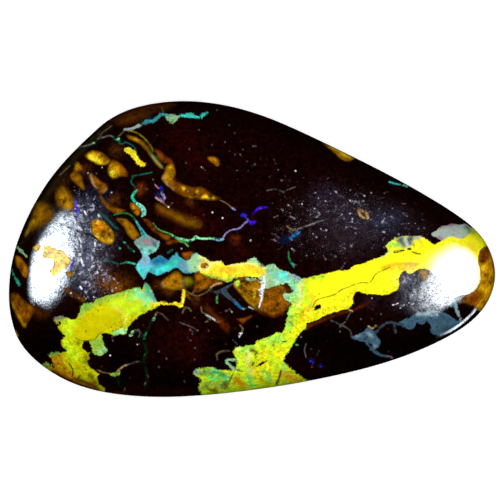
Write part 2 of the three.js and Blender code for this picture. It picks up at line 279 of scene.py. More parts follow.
# Precious opal: tone, softness of the edge towards other opal in pixels, and the closed outline.
# Later outlines lie over earlier ones.
opalPatches = {
    "greenDrop": ("paleGreen", 1.5, [(165, 115.5), (171, 114.5), (177, 115), (181, 116), (178, 118),
        (176, 121), (172.5, 124), (169, 121.5), (166, 119)]),
    "milkyHeart": ("dimPearl", 1.5, [(134, 242), (139, 238), (145, 235), (151, 237), (156, 239), (160, 243),
        (158, 249), (154, 252), (148, 254.5), (145, 257), (142, 253), (138, 248)]),
    "heartFoot": ("paleAqua", 3, [(138, 246), (144, 247), (151, 246.5), (158, 244), (158, 249), (153, 252),
        (148, 255), (144, 256), (140, 251)]),
    "blueCross": ("sky", 1.5, [(143, 253), (146.5, 254), (149, 258), (151, 262), (151, 268), (148, 272),
        (145, 277.5), (143, 278.5), (141, 276), (138, 271), (136, 266), (139, 262), (142, 258)]),
    "blueMass": ("aqua", 2, [(150, 262), (156, 257), (162, 256), (168, 260), (174, 255.5), (177, 252.5),
        (180, 257), (186, 260.5), (190, 258.5), (193, 254), (198, 254), (204, 258), (209, 262), (210, 268),
        (204, 272), (199, 271.5), (193, 272.5), (187, 273.5), (181, 271), (176.5, 267.5), (170, 270.5),
        (163, 273.5), (157, 275.5), (152, 273.5), (149, 269)]),
    "massGreen": ("paleGreen", 3, [(187, 262), (191, 258), (193, 254), (198, 254), (204, 258), (209, 262),
        (206, 272), (199, 271.5), (192, 272), (188, 270)]),
    "yellowBand": ("yellow", 1.2, [(204, 261), (211, 262), (217, 261.5), (221, 260.5), (223.5, 264),
        (227, 265.5), (231, 264), (240, 263), (247, 262), (253, 261), (258, 263), (266, 268), (268, 273),
        (265, 279), (258, 278), (247, 276.5), (240, 277.5), (234, 279), (228, 281.5), (220, 279.5),
        (212, 277.5), (205, 275.5), (199, 271.5), (201, 267)]),
    "mintMass": ("paleGreen", 2, [(264.5, 270), (268, 265.5), (273, 264), (277, 266.5), (281, 270.5),
        (286, 271.5), (290, 273), (296, 275.5), (301, 278), (307, 279), (311, 283), (309, 296), (306, 310),
        (294, 305), (287, 300.5), (283, 297), (284, 292), (289, 293.5), (294, 291.5), (290, 287),
        (287, 283), (282, 284.5), (276, 285.5), (270, 287.5), (265, 288.5), (264.5, 280)]),
    "greenLimb": ("chartreuse", 2, [(294, 302.5), (290.5, 306), (288.5, 311), (287, 317), (286, 323),
        (285, 329), (282, 333), (277, 333), (271, 336), (266, 338), (262, 339), (257, 341.5),
        (255.5, 344.5), (251, 345), (246, 345.5), (243, 347.5), (240, 346.5), (236.5, 347.5),
        (232.8, 350.2), (234.5, 354), (236, 358), (237, 362), (236, 368), (234, 370.5), (226, 370),
        (219, 369.3), (214, 368), (206, 367.8), (199, 368.2), (195.5, 369.5), (193.6, 372.5), (195, 375.7),
        (199, 378), (202, 381), (199.5, 384), (198.6, 388), (201, 393), (208, 400), (250, 397), (300, 388),
        (312, 382), (306, 380), (300, 376), (295, 372), (290, 368), (286, 364), (283.5, 361), (287, 354),
        (290, 348.5), (293, 344), (296, 339), (299, 335), (302, 331), (305.5, 327.5), (307, 322),
        (313, 310), (310, 295)]),
    "mainBand": ("lemon", 3, [(303, 281), (309, 278), (313, 276), (319, 275), (325, 274), (330, 273),
        (335, 271.5), (341, 270.5), (349, 270), (352, 267), (356, 265), (362, 264), (367, 262), (374, 259),
        (380, 257), (385, 254.5), (388.5, 251), (386, 246), (388, 243), (391, 240.5), (396, 238),
        (401, 236.5), (407, 236), (415, 236.3), (419, 235), (423, 237), (427, 239.5), (431, 243),
        (435, 244.7), (439, 242.3), (443, 239.8), (448, 237.2), (453, 236), (458, 238), (464, 238),
        (468, 235), (471, 231), (473, 226), (480, 229), (492, 244), (486, 246), (481, 249.5), (479, 255),
        (478, 262), (480, 271), (480, 280), (476, 288), (466, 294), (456, 292), (446, 285), (438, 277),
        (431, 271.5), (427, 269), (423, 268.5), (419, 269), (415, 271.5), (411, 273.5), (408, 272.5),
        (405, 270.5), (402, 272.5), (399.5, 276), (398.5, 283), (398, 289), (394, 291.5), (389, 293.5),
        (384, 295), (378, 294), (371, 294), (363, 293.5), (359, 291), (355.5, 292.5), (354, 295.5),
        (352.5, 299), (353.6, 303), (350.5, 306), (349, 308), (344, 309.2), (339, 311), (332, 312.5),
        (327, 314.8), (320, 318), (316, 320.3), (310, 322.5), (304.5, 325), (303, 328), (300, 322),
        (302, 310), (304, 296)]),
    "greyPatch": ("pearl", 1.4, [(431.5, 234), (436, 230.5), (441, 227), (447, 225), (454, 224), (460, 225),
        (464, 224), (468, 225), (471.5, 229), (470, 232.5), (465, 236.5), (459, 238.5), (452, 236.5),
        (446, 238), (442, 240.5), (437, 237.5), (434, 236.5)]),
    "leftOpal": ("greenGold", 2, [(53.5, 319.5), (58, 317), (62, 316), (66, 317.5), (70, 319), (75, 319.3),
        (78, 316.5), (80.5, 311), (82, 308), (85, 306.6), (89.5, 307), (93, 305), (96.5, 301.7),
        (100, 299.3), (107, 297), (112, 295), (118, 294), (126, 293.3), (133, 292.3), (139, 290.3),
        (142.5, 288.3), (144.5, 284), (146, 281.8), (148, 285), (151, 289), (153.5, 294), (155.5, 299),
        (157, 302.5), (157, 307), (152, 309.3), (147, 311.7), (141, 314.8), (136, 318), (132, 321.5),
        (129, 325.5), (127, 329.5), (126, 333), (124, 334.5), (120, 334.2), (116, 334.7), (113, 335.5),
        (110, 333.7), (104, 333), (101.5, 333.7), (101, 337), (102, 341), (104.5, 345.5), (107.5, 350),
        (105, 352), (102, 354.7), (98, 355.5), (94, 353.7), (92.3, 350), (91.3, 346), (89, 341.5),
        (86.5, 338.8), (84, 339), (83, 342), (82, 346.5), (84, 350), (88.5, 353.3), (89, 359), (87.5, 362),
        (88.5, 366), (92, 369), (96, 371.8), (99, 374), (97, 377), (97.5, 381), (99, 384.5), (105, 389),
        (100, 394), (78, 389), (56, 379), (46, 371), (42, 365), (46, 362.3), (49, 364), (50.5, 367),
        (52, 364), (52, 360), (50, 357.5), (47.8, 355), (51, 352.8), (55, 351.8), (58, 352), (61, 352.7),
        (65, 351.7), (66.5, 350), (63, 346), (61.3, 342), (62.5, 339), (65.7, 336), (63.5, 334),
        (60.5, 330), (58, 326), (56, 322)]),
    "leftFringe": ("leaf", 2, [(80, 314), (80.5, 306), (84, 304), (93, 302.5), (96, 299), (107, 296),
        (126, 290.5), (139, 287), (140, 291), (126, 295.5), (112, 299), (101, 303), (92, 308), (85, 313),
        (80, 320)]),
    "goldenEye": ("oliveGold", 1.0, [(73, 331), (78, 323), (84, 315.5), (90, 310), (98, 306.5), (108, 306),
        (115, 309), (121, 314), (124, 319), (123, 325), (118, 329), (110, 331), (102, 331), (98.5, 334),
        (95, 338.5), (88, 340.3), (80, 339.7), (75, 337)]),
    "leftTongue": ("leaf", 1.6, [(101, 332), (100, 335), (96.5, 339), (90, 341.5), (92, 346), (93, 350),
        (95, 354), (99, 356), (103, 354), (108, 350), (104, 345), (102, 340), (101.5, 335)]),
    "leftWedge": ("deepGold", 1.8, [(50, 356), (56, 354), (62, 355), (64, 362), (69, 368), (74, 375),
        (72, 382), (60, 378), (52, 368), (53, 362)]),
    "slatePatch": ("slate", 1.6, [(352, 338), (356, 335), (361, 333), (365, 330), (369, 328.3), (373, 331),
        (375, 334), (377.5, 338), (380.5, 341), (379.5, 346), (376, 349.3), (372, 351), (369.8, 348.7),
        (367, 344.7), (364, 341.8), (360, 341), (356, 339.7)]),
    "slateField": ("slate", 1.6, [(401, 322), (404, 319.5), (409, 318), (413, 315), (417, 312.3),
        (423, 311.5), (431, 311), (440, 312), (448, 314), (452, 317), (456, 320.5), (461, 321.5),
        (460, 326), (454, 330.5), (447, 333.7), (440, 335.5), (434, 334.5), (430.3, 331), (431.3, 328),
        (429.5, 323.5), (427, 320), (424, 323.2), (421, 324.2), (417, 322.3), (415, 326.3), (412, 329.3),
        (408, 328.8), (404, 327.5)]),
    "slateStub": ("slate", 1.6, [(448, 304), (453, 302), (456, 305), (454, 307.5), (450, 306.5)]),
    "bumps": ("paleGreen", 1.2, [(248, 262), (250.5, 258.5), (254, 256.5), (257, 258.5), (258, 262),
        (265, 266), (262, 268), (254, 264)]),
}

# Strands of opal: tone, half width, and the places each one passes. A third number is the half width there.
opalStrands = {
    "topVeinStart": ("pearl", 1.3, [(124, 129.5, 1.0), (129.5, 129.3, 1.6), (136, 127), (142, 124.2)]),
    "topVein": ("aqua", 1.4, [(141, 124.3, 1.0), (147, 121.5, 1.7), (153, 121, 1.6), (157, 118, 1.4),
        (161, 114.5, 1.5), (167, 115, 1.6)]),
    "topVeinCyan": ("cyan", 1.5, [(180, 116, 1.3), (184, 115.8, 1.8), (190, 115.3, 1.9), (196, 116.6, 1.5),
        (201, 117, 1.3)], [(201, 117, 1.2), (203.5, 114.5), (207, 112.5, 0.8)]),
    "linkToMass": ("sky", 2.2, [(148, 265), (153, 265)]),
    "bandToMint": ("paleGreen", 3.0, [(262, 278), (266, 279), (271, 277)]),
    "fingerRing": ("paleGreen", 1.1, [(237, 360), (232, 359.6), (228.5, 359.5), (226.6, 361.5),
        (228.5, 364.3), (231.5, 366.5), (234, 369), (237, 370)]),
    "slateLink": ("darkSlate", 1.0, [(375, 333.5), (378, 330), (382, 326), (386, 323.3), (391, 322.5),
        (396, 323.7), (402, 324, 1.6)], [(394, 324, 1.2), (395.5, 332, 1.2)]),
    "slateTail": ("slate", 1.1, [(371, 349.5), (375, 352), (380, 355), (386, 356)]),
    "slateTip": ("paleSlate", 1.4, [(455, 302.5), (456.5, 309), (459, 315, 1.2), (461, 321.5, 0.9)]),
    "yellowVeins": ("yellow", 1.3, [(155, 304.5, 2.0), (161, 303.3), (167, 304, 1.2), (171, 304, 0.9),
        (174.5, 303.2, 1.6), (178, 304), (180.5, 306, 1.6), (182.5, 302, 1.8), (183.5, 296, 1.4),
        (184, 290, 1.0)]),
    "rimStrokes": ("paleGreen", 1.2, [(17, 247.5), (21, 250.7), (25.8, 256.2, 0.8)]),
    "rimStrokesTeal": ("teal", 1.0, [(12, 270, 0.7), (14, 275), (16.5, 280), (19, 285, 1.2)]),
    "goldChain": ("yellow", 2.6, [(127.5, 150, 2.8), (132, 153, 3.2), (136, 157.5, 2.4), (139, 162, 2.4),
        (143, 164.5, 2.3)]),
    "pitRim": ("creamGold", 1.1, [(199, 265.5), (200.5, 262.3), (204.5, 261), (208.8, 262.3),
        (210.3, 265.5), (208.8, 268.7), (204.5, 270), (200.5, 268.7), (199, 265.5)]),
}

# Colours laid softly over the opal: tone, radius and places
opalShades = {
    "dropTip": ("jade", 2.2, [(172, 122)]),
    "heartGrey": ("rose", 2.6, [(146, 241), (153, 243)]),
    "heartDark": ("slate", 2.2, [(153, 242), (156, 246)], [(141, 249)], [(150, 251)]),
    "crossPale": ("paleSlate", 2.4, [(144.5, 257), (145, 263)]),
    "crossCyan": ("cyan", 3.0, [(138.5, 268), (143, 275)], [(148, 269)]),
    "massDeep": ("blue", 4.2, [(155, 262), (164, 260)], [(166, 263)]),
    "massCyan": ("cyan", 3.0, [(157, 272)], [(163, 269), (170, 266), (176, 262)]),
    "massTeal": ("teal", 3.0, [(172, 264)]),
    "massPale": ("greyBlue", 4.0, [(183, 265), (186, 268)]),
    "massCream": ("paleYellow", 2.6, [(202, 257), (206, 260)]),
    "bandWarm": ("warmYellow", 3.6, [(254, 268), (262, 272)], [(222, 270), (240, 269)]),
    "bandTop": ("paleYellow", 1.6, [(211, 263), (220, 262.5)], [(231, 265), (247, 263), (256, 264)]),
    "bandFoot": ("leaf", 2.2, [(204, 275), (214, 278), (228, 280.5), (236, 278)]),
    "bandPit": ("brownGold", 1.4, [(226, 262.5)]),
    "bumpBrown": ("umber", 2.0, [(262, 265)]),
    "bumpMint": ("mint", 2.2, [(254, 261)]),
    "mintPale": ("paleAqua", 4.0, [(274, 273), (279, 279)]),
    "mintCyan": ("cyan", 3.0, [(282, 273), (286, 278)]),
    "mintLilac": ("paleSlate", 3.0, [(291, 276), (299, 279)]),
    "mintLow": ("paleGreen", 3.5, [(270, 283)], [(287, 297)]),
    "mintFoot": ("mint", 4.0, [(293, 283), (297, 290)]),
    "mintToLemon": ("chartreuse", 4.0, [(306, 284), (306, 300)]),
    "limbPale": ("paleYellow", 2.0, [(299, 284), (300, 296), (298, 306)]),
    "limbLime": ("lime", 3.6, [(291, 308), (289.5, 318), (288, 327)], [(294, 298)], [(281, 337),
        (268, 341)], [(252, 347), (240, 350)]),
    "limbGold": ("oliveGold", 1.6, [(303, 312), (301, 319), (297, 327), (294, 333)], [(296, 314)],
        [(291, 320)]),
    "limbLemon": ("lemon", 4.0, [(300, 327), (295, 336)], [(284, 350), (276, 356)], [(265, 352)]),
    "limbJade": ("jade", 1.4, [(292, 316)], [(290, 322), (293, 325)], [(273, 345)], [(284, 342)],
        [(246, 355)]),
    "bandEdgeGreen": ("chartreuse", 3.0, [(313, 277), (323, 277)], [(309, 303), (311, 313)]),
    "greenFlash": ("jade", 1.4, [(313.5, 277.5)], [(322.5, 277)]),
    "orangeFold": ("warmYellow", 2.6, [(311, 308), (306, 315)], [(311, 296), (314, 303)]),
    "footLemon": ("lemon", 5.0, [(262, 358), (266, 368)], [(255, 372)], [(272, 374)]),
    "footPale": ("paleYellow", 2.2, [(249, 352), (248, 361), (250, 372)], [(249, 378)], [(238, 349)]),
    "footBrown": ("olive", 1.5, [(251, 350), (256, 352)], [(256, 357)], [(253, 364)], [(235, 361.5)],
        [(233, 363)]),
    "footGold": ("amber", 4.0, [(236, 380), (242, 385)]),
    "footTriangle": ("gold", 4.5, [(285, 374), (291, 378), (298, 381)]),
    "footRightGold": ("greenGold", 1.6, [(288, 369), (296, 375), (302, 379)]),
    "footLime": ("lime", 2.6, [(252, 385)], [(283, 365), (285, 369)], [(264, 372)], [(268, 378)]),
    "footShade": ("greenGold", 3.5, [(260, 380), (268, 384)], [(250, 366)]),
    "footTip": ("greyBlue", 3.4, [(196, 371.5)]),
    "footJade": ("jade", 3.6, [(205, 372), (214, 373), (222, 374), (226, 380), (222, 386)]),
    "footTipDark": ("emerald", 1.8, [(201, 374)]),
    "footOlive": ("leaf", 3.6, [(208, 384), (218, 384)], [(203, 387)]),
    "footOliveLow": ("olive", 3.0, [(226, 386)], [(215, 390)]),
    "footStreak": ("olive", 1.4, [(206, 386), (210, 390), (217, 392)]),
    "footSpring": ("spring", 1.8, [(211, 378), (216, 380)], [(222, 378), (230, 378)], [(215, 374),
        (219, 376)], [(249, 377), (252, 386)], [(267, 374), (270, 380)]),
    "footMint": ("mint", 1.2, [(215, 378)], [(226, 377)], [(212, 369.5), (217, 369.5)]),
    "footCrack": ("brownGold", 1.4, [(281, 371), (279.5, 377), (276.5, 384)]),
    "goldLines": ("gold", 1.8, [(384, 268), (393, 264.5), (404, 264), (417, 264.5)]),
    "goldZone": ("warmYellow", 3.4, [(402, 268), (412, 267)], [(392, 268)]),
    "insetLime": ("lime", 3.6, [(390, 244), (396, 245)]),
    "insetGrey": ("slate", 3.4, [(400, 240), (404, 245)], [(409, 239), (410, 243)]),
    "insetDark": ("slate", 2.2, [(402, 238)], [(411, 239), (412, 237)]),
    "insetStreak": ("paleGrey", 1.1, [(405, 238), (407.5, 246)]),
    "insetEnd": ("pearl", 2.0, [(416, 238), (420, 237)]),
    "notchShore": ("paleGreen", 1.6, [(387, 252), (382, 256)]),
    "rightGold": ("yellow", 3.6, [(470, 245), (476, 250)]),
    "greyPatchDark": ("dimGrey", 2.6, [(467, 227), (470, 231)]),
    "greyPatchLight": ("paleGreen", 1.6, [(462, 232), (466, 231)]),
    "greyPatchEdge": ("rose", 1.3, [(440, 228), (447, 225.5), (455, 224.5)], [(438, 237), (443, 239)]),
    "tipGreen": ("leaf", 2.0, [(472, 230), (474, 233)]),
    "leftTip": ("dimGrey", 3.0, [(54, 319), (60, 318), (64, 317.5)]),
    "leftYellow": ("chartreuse", 4.5, [(66, 324), (72, 322)], [(68, 332)]),
    "eyeBright": ("eyeGold", 5.0, [(104, 310), (112, 312)]),
    "eyeRight": ("greenGold", 3.0, [(114, 322), (119, 320)]),
    "eyeShade": ("oliveGold", 4.0, [(84, 330), (96, 330)]),
    "leftLemon": ("chartreuse", 4.5, [(113, 303), (122, 303)], [(128, 312), (136, 308)]),
    "leftPale": ("lime", 4.0, [(130, 298), (138, 296)], [(146, 305)]),
    "leftRim": ("straw", 1.2, [(113, 306.5), (120, 311), (125, 317), (125, 324)]),
    "leftMint": ("mint", 3.6, [(137, 292), (143, 297)], [(148, 300)]),
    "leftTeal": ("teal", 3.6, [(146, 285), (149, 294)]),
    "leftTealDark": ("aqua", 2.4, [(152, 294), (155, 300)]),
    "leftFoot": ("mint", 2.4, [(116, 333), (125, 331)]),
    "tongueMint": ("paleGreen", 2.2, [(104, 349), (100, 353)]),
    "stemShade": ("olive", 2.4, [(86, 357), (86, 363)], [(78, 343)]),
    "stemLime": ("chartreuse", 3.6, [(66, 344), (70, 350)], [(76, 356)]),
    "wedgeGreen": ("jade", 1.8, [(49, 354.5), (57, 353)], [(44, 365), (48, 367)]),
    "lowGold": ("oliveGold", 3.4, [(76, 366), (84, 368)]),
    "lowOlive": ("olive", 3.4, [(90, 376), (95, 382)]),
    # lowBrown and lowRed: darker red-brown towards the steep lower rim, painted shade.
    "lowBrown": ("brown", 3.0, [(76, 379), (86, 383), (96, 387)]),
    "lowRed": ("redBrown", 2.6, [(52, 371), (64, 378), (80, 385), (98, 391)]),
    "slatePale": ("paleSlate", 2.0, [(418, 314), (428, 313.5)], [(437, 314)], [(357, 336)]),
    "slateTeal": ("paleSlate", 1.6, [(368, 333), (372, 337)], [(375, 346)]),
    "slateBlue": ("slate", 3.0, [(440, 322), (450, 322)], [(408, 323)]),
    "slateDeep": ("darkSlate", 2.6, [(446, 330)], [(365, 338)]),
}

# Ironstone showing through the opal, closed outlines
ironWindows = {
    "pitMouth": [(200.6, 265.5), (202, 263.2), (204.8, 262.4), (207.6, 263.4), (208.8, 265.5),
        (207.4, 267.8), (204.5, 268.7), (202, 267.9)],
    "mintHollow": [(287.5, 268.5), (291, 266.5), (296, 269.5), (300.5, 274.5), (295, 273.5), (290, 272)],
    "blackHole": [(313.5, 310), (316, 305.8), (319.7, 304.2), (320.4, 308), (317, 310.3)],
    "footSlit": [(235.5, 369.3), (239, 369.2), (242.5, 371), (239, 371.6)],
    "footCrack": [(256, 366.3), (260.5, 363.4), (264, 360.8), (268, 360.6), (264.5, 363.6), (260.5, 365.4)],
    "leftHoleSmall": [(57.8, 321.5), (60.5, 322), (61.2, 325), (59, 325.3)],
    "slateHole": [(368.8, 342.6), (372.3, 344), (373.6, 347.2), (370.6, 346.6)],
    "notch": [(49.5, 359.5), (51.5, 359.5), (55, 366.5), (53, 368.5)],
    "insetHole": [(407, 248), (411, 247.6), (411.3, 250), (407.6, 250.3)],
}

# Fine lines of any colour, narrower than a strand: tone, half width and the places each one passes
fineLines = {
    "greyVeinLeft": ("dimGrey", 0.8, [(74, 150.5), (80, 147), (87, 145.5), (91, 144)], [(98, 138.7),
        (104, 137), (110, 135.6), (113, 137)]),
    "greyVeinEnd": ("dimTan", 0.8, [(118, 137.5), (121, 134), (124, 131)]),
    "tealBits": ("deepTeal", 0.8, [(113, 137), (116, 140), (118, 140)], [(119, 143), (123, 144), (125, 142),
        (130, 144), (134, 147), (136, 151)], [(132, 176), (139, 175), (152, 172.5)], [(133, 177),
        (131, 182), (134, 186)], [(128, 247), (131, 249.5)]),
    "tealHaze": ("deepTeal", 1.2, [(101, 213.5), (107, 219), (113, 225), (118, 229)], [(168, 252.5),
        (172, 250)]),
    "tealDots": ("teal", 0.9, [(124, 242.3), (125, 242.6)], [(119.5, 248), (120.2, 248.4)], [(132, 250),
        (134, 251.5)]),
    "brightDotsTop": ("mint", 1.0, [(93.3, 143.2), (94.3, 142.8)], [(117.6, 139.8), (119, 138.8)]),
    "bandGreenEdge": ("olive", 0.8, [(130, 130.5), (137, 133), (144, 138), (150, 145), (153, 151)]),
    "tealVeinA": ("teal", 1.1, [(137, 190, 0.8), (133.5, 194, 1.4), (132.3, 198, 1.4), (136, 203, 1.2)]),
    "tealVeinWide": ("paleAqua", 2.0, [(136, 203, 1.2), (140.5, 206, 2.0), (143.5, 210, 2.4),
        (144, 214, 2.0), (142, 216, 1.0)]),
    "tealVeinB": ("emerald", 0.8, [(114, 215, 0.5), (120, 213.3), (127, 213.3), (132, 216), (136, 221)]),
    "tealVeinC": ("aqua", 1.0, [(136, 221), (139, 226, 1.2), (142, 231, 1.8), (144.5, 236, 3.0)]),
    "greenLine": ("jade", 0.7, [(153, 223, 0.5), (158, 229), (165, 232), (172, 234.5)]),
    "greenLineMid": ("mint", 1.0, [(172, 235, 0.8), (177, 238), (185, 239.5), (191, 240.5), (196, 237, 1.6),
        (198, 238), (204, 238.7), (212, 238.3), (216, 239)]),
    "greenLineDrop": ("jade", 0.9, [(183, 240), (186, 244), (188, 246)], [(176, 238), (181, 242)]),
    "greenLineBlue": ("sky", 1.2, [(215, 239), (219, 240), (223, 239)]),
    "greenLineGrey": ("lilac", 0.8, [(223, 238), (226, 233.5), (231, 230), (239, 228.5), (244, 224),
        (248, 220)]),
    "leftLine": ("deepTeal", 0.8, [(104, 260), (111, 261.5), (118, 264)]),
    "leftLineBright": ("teal", 0.9, [(122, 263.3, 0.7), (128, 262.3), (135, 264)]),
    "violetFlashes": ("violet", 1.2, [(75.5, 200, 0.8), (76, 205), (77, 210, 1.6), (78, 216)],
        [(74, 261, 0.8), (72, 265), (71, 269)], [(249, 221), (252, 223.5, 1.5), (255, 221.5)],
        [(253, 214, 0.7), (257, 209.5), (262, 207.3), (268, 207.5, 0.7)]),
    "lilacHearts": ("lilac", 0.8, [(256, 210), (261, 208)], [(243, 214.8), (244.2, 215)]),
    "blueFlash": ("vividBlue", 1.6, [(161.4, 187.5), (162, 188.6)], [(242, 215), (245.5, 215.4)]),
    "roseFlashes": ("rose", 1.2, [(156, 197.5), (159, 200), (163, 202)], [(155, 184.5, 0.7),
        (158, 188, 0.7)]),
    "lilacFlash": ("lilac", 1.5, [(162, 193), (164.5, 198)]),
    "tailWhisker": ("dimTan", 0.7, [(163, 202.5), (167, 206)], [(220, 200), (226, 203), (231, 207)]),
    "tailWhiskerEnd": ("lilac", 0.8, [(232, 208), (235, 210)]),
    "navyStroke": ("blue", 1.2, [(290, 238), (295, 235), (299, 232.5)]),
    "tanMarks": ("dimTan", 0.9, [(287, 226), (291, 229), (296, 230)], [(240, 325), (243, 329)],
        [(182.6, 312.5), (185, 307.5), (188.5, 308), (191, 311)], [(216.5, 354.5), (220, 352), (225, 351),
        (229, 351)], [(97.5, 370), (102, 372), (108, 373.3)]),
    "lowTan": ("tan", 0.9, [(118, 370.5), (121, 368), (124, 366), (126.5, 365)]),
    "lowGrey": ("greyIron", 0.8, [(127, 365), (132, 363), (138, 361.5)]),
    "lowGreen": ("leaf", 1.8, [(112.5, 374.5), (114.5, 374.8)], [(117, 373.6), (118.3, 373.2)]),
    "lowGreenGlow": ("mint", 0.8, [(113, 374.4), (114, 374.6)]),
    "rimDashes": ("cyan", 0.9, [(389.5, 182), (392, 182.7), (395, 183.6), (399, 184.4)]),
    "rimDashEnd": ("paleAqua", 1.1, [(403.5, 185.3), (407, 186.4)]),
    "rimGreys": ("dimTan", 0.7, [(112, 125.5), (106, 130), (99, 135)], [(70, 166), (65, 170), (60, 175)],
        [(163, 112), (162, 108)]),
    "tanBranch": ("dimTan", 0.8, [(184.8, 289.6), (190, 293.5), (196.7, 296), (203, 294), (208, 291),
        (211, 287.5)], [(192, 295), (194, 291)]),
    "creamBranch": ("tan", 1.0, [(211, 287), (215, 284.5), (221, 283)]),
    "slateVein": ("darkSlate", 1.8, [(211, 291, 0.9), (217, 292, 1.3), (223, 291.5, 2.6), (229, 297, 2.2),
        (235, 301.5, 1.8)], [(222, 290, 1.6), (228, 286.5, 1.4), (233, 283.5, 0.9)]),
    "slateVeinEnd": ("blue", 1.5, [(235, 302), (239, 306), (242, 308.5, 1.1)]),
    "slateVeinGlow": ("pearl", 0.8, [(211, 291), (216, 292)], [(242, 308.5), (244, 309)], [(249, 307),
        (253, 309)]),
    "greenDashes": ("jade", 1.0, [(217, 297), (217, 302.7)]),
    "greenDash2": ("pearl", 0.9, [(205.5, 314.3), (210, 317), (214.5, 319.7)]),
    "tanCurls": ("dimTan", 0.8, [(205.5, 322), (208, 321)], [(216, 321.5), (219, 322)], [(201, 307),
        (202, 312)]),
    "paleGreens": ("lime", 1.9, [(238, 282), (238.3, 286)]),
    "paleGreens2": ("paleGreen", 1.3, [(247, 278.5), (251, 280), (255, 279)]),
    "greyWhiskers": ("greyIron", 0.7, [(162, 314), (168, 320)], [(180, 322.5), (187, 325.3), (194, 328)],
        [(233, 340), (237, 344)], [(216.5, 355), (217.5, 360)], [(125, 388.4), (124, 391)], [(306, 344),
        (304.5, 350), (306, 357)], [(311, 349), (311.4, 349.4)], [(319, 351), (317, 355)], [(267, 190.5),
        (274, 189.3), (280, 190.6), (284, 192.5)], [(287, 190), (295, 187)], [(112, 336), (113, 341)],
        [(138, 329), (140, 333), (138.5, 337)], [(331, 320.5), (337, 323), (342, 325.5), (347, 328),
        (350.5, 331), (352, 337)], [(345, 322), (340, 327)], [(351, 311), (347, 319)], [(341, 269),
        (345, 263)]),
    "bigWhisker": ("dimGrey", 0.7, [(304, 226.5), (310, 225), (317, 222), (322, 220.5), (328, 219)]),
    "dottedTeal": ("emerald", 0.9, [(147, 331, 0.7), (145, 336), (144, 341), (146, 346), (146.5, 351),
        (144.5, 356, 0.7)]),
    "dottedFaint": ("greenIron", 1.6, [(152, 322), (147, 331)], [(144, 341), (146.5, 352), (144, 362),
        (146.5, 372), (147, 382), (145, 388)], [(115, 377), (118.5, 380), (119.5, 385)]),
    "dotted": ("mint", 1.0, [(154, 318), (154.2, 318.6)], [(149.5, 325), (150, 325.6)]),
    "dottedTop": ("tan", 0.9, [(156.9, 312.7), (156.2, 314)]),
    "dottedGreys": ("greyIron", 0.9, [(146, 370), (146.8, 372)], [(147.6, 375), (148, 377)], [(146, 382),
        (144.8, 384)], [(143.6, 362), (144, 363)]),
    "dottedSpots": ("paleGreen", 1.2, [(132.3, 332), (133, 331.6)], [(130, 335.5), (131.5, 335)]),
    "blackCracks": ("blackIron", 1.3, [(394.5, 252), (399, 251.2), (404, 250.4, 0.7)], [(63, 225, 0.7),
        (68, 227), (73, 229, 0.8), (77, 231, 1.2), (83, 233, 1.5), (88, 234.3, 1.3), (93, 236),
        (98, 240, 0.6)], [(82, 254, 0.6), (85, 250, 0.8), (88, 248.5, 0.8), (92, 250.5, 0.6)]),
    "brownCracks": ("umber", 0.8, [(412, 251.5), (416, 253.3), (420, 254)], [(280.8, 371), (279, 378),
        (276.4, 384)], [(251, 351), (254, 349.5)], [(69, 363.5), (71.5, 367), (73, 371), (72.5, 376)],
        [(80, 375), (78, 379)], [(273, 344), (273.5, 346)], [(283.5, 341.5), (286, 341.5)], [(255, 355),
        (257, 352.5)], [(252, 365.5), (254, 362)]),
    "goldCrack": ("olive", 0.6, [(313, 307), (315, 302), (319, 299), (326, 297), (335, 294.5), (338, 292),
        (343, 289), (350, 286.5), (357, 283.5), (363, 282.5), (369, 283), (372, 280), (375, 275),
        (379, 272), (385, 269.5), (390, 267)]),
    "eyeEdge": ("olive", 0.6, [(76, 338), (80, 340), (88, 340.6), (95, 338.8), (98.5, 334.5), (102, 331.5)],
        [(112, 331), (118, 329.3), (123, 325.5)]),
    "footLine": ("olive", 0.9, [(233, 374), (229, 382), (225, 389)]),
    "healedCrack": ("white", 1.3, [(264, 275, 1.0), (264.3, 281, 1.6), (263, 287, 2.0), (262, 292, 1.6),
        (262, 297, 1.1), (260.3, 303, 0.9), (259, 308, 0.6)], [(258.5, 290, 0.6), (262, 289)],
        [(259.5, 295.5, 0.6), (262, 294)], [(260, 282, 0.5), (263, 283)]),
    "creamTick": ("tan", 1.2, [(347.5, 308.5, 0.8), (352, 311.3)]),
    "rimYellow": ("deepGold", 0.8, [(15, 330), (18, 336)]),
    "blackEye": ("tan", 0.9, [(368.3, 326.2), (369.3, 326.8)], [(372, 328.4), (373.2, 328)], [(376, 325.4),
        (376.5, 325.6)]),
    "slateTailEnd": ("rose", 1.1, [(388, 356.5), (392, 357.6)]),
    "tealWhisker": ("emerald", 0.9, [(288.5, 252, 0.6), (289, 258), (291, 262.5), (294, 267)]),
    "tealWhiskerDot": ("aqua", 1.3, [(292.8, 264.2), (293.6, 265)]),
    "greenDot": ("jade", 1.0, [(296.2, 344.6), (297.4, 344.9)]),
    "whiteSliver": ("paleGrey", 1.2, [(239.3, 337.2, 0.6), (240, 334, 1.4), (242, 333, 0.8)]),
    "pitGlint": ("cream", 0.8, [(206.7, 266.4), (207.3, 266.8)]),
    "ringPit": ("tan", 1.0, [(358.4, 210.6), (361, 210.4), (364.3, 211.6), (367, 214), (368.3, 217.6),
        (366.4, 218.6), (362, 217), (359.2, 214), (358.4, 210.8)]),
    "ringPitTail": ("dimTan", 0.8, [(354, 208.5), (358, 209.5)]),
    "ringPitHeart": ("umber", 0.9, [(361.5, 213), (365, 215.5)]),
    "dropletCyan": ("cyan", 1.1, [(104.3, 348.3), (104.8, 348.8)]),
    # Painted glints: short white dashes in the left lamp's haze, where the polish catches the lamp.
    "glintDashes": ("white", 0.7, [(79, 237), (81, 242)], [(80.5, 245), (81, 247)], [(80, 253.5),
        (80.3, 255)], [(81, 259.5, 0.9), (83.4, 265.5, 0.9)], [(95, 242, 0.9), (95, 245.5, 0.9)],
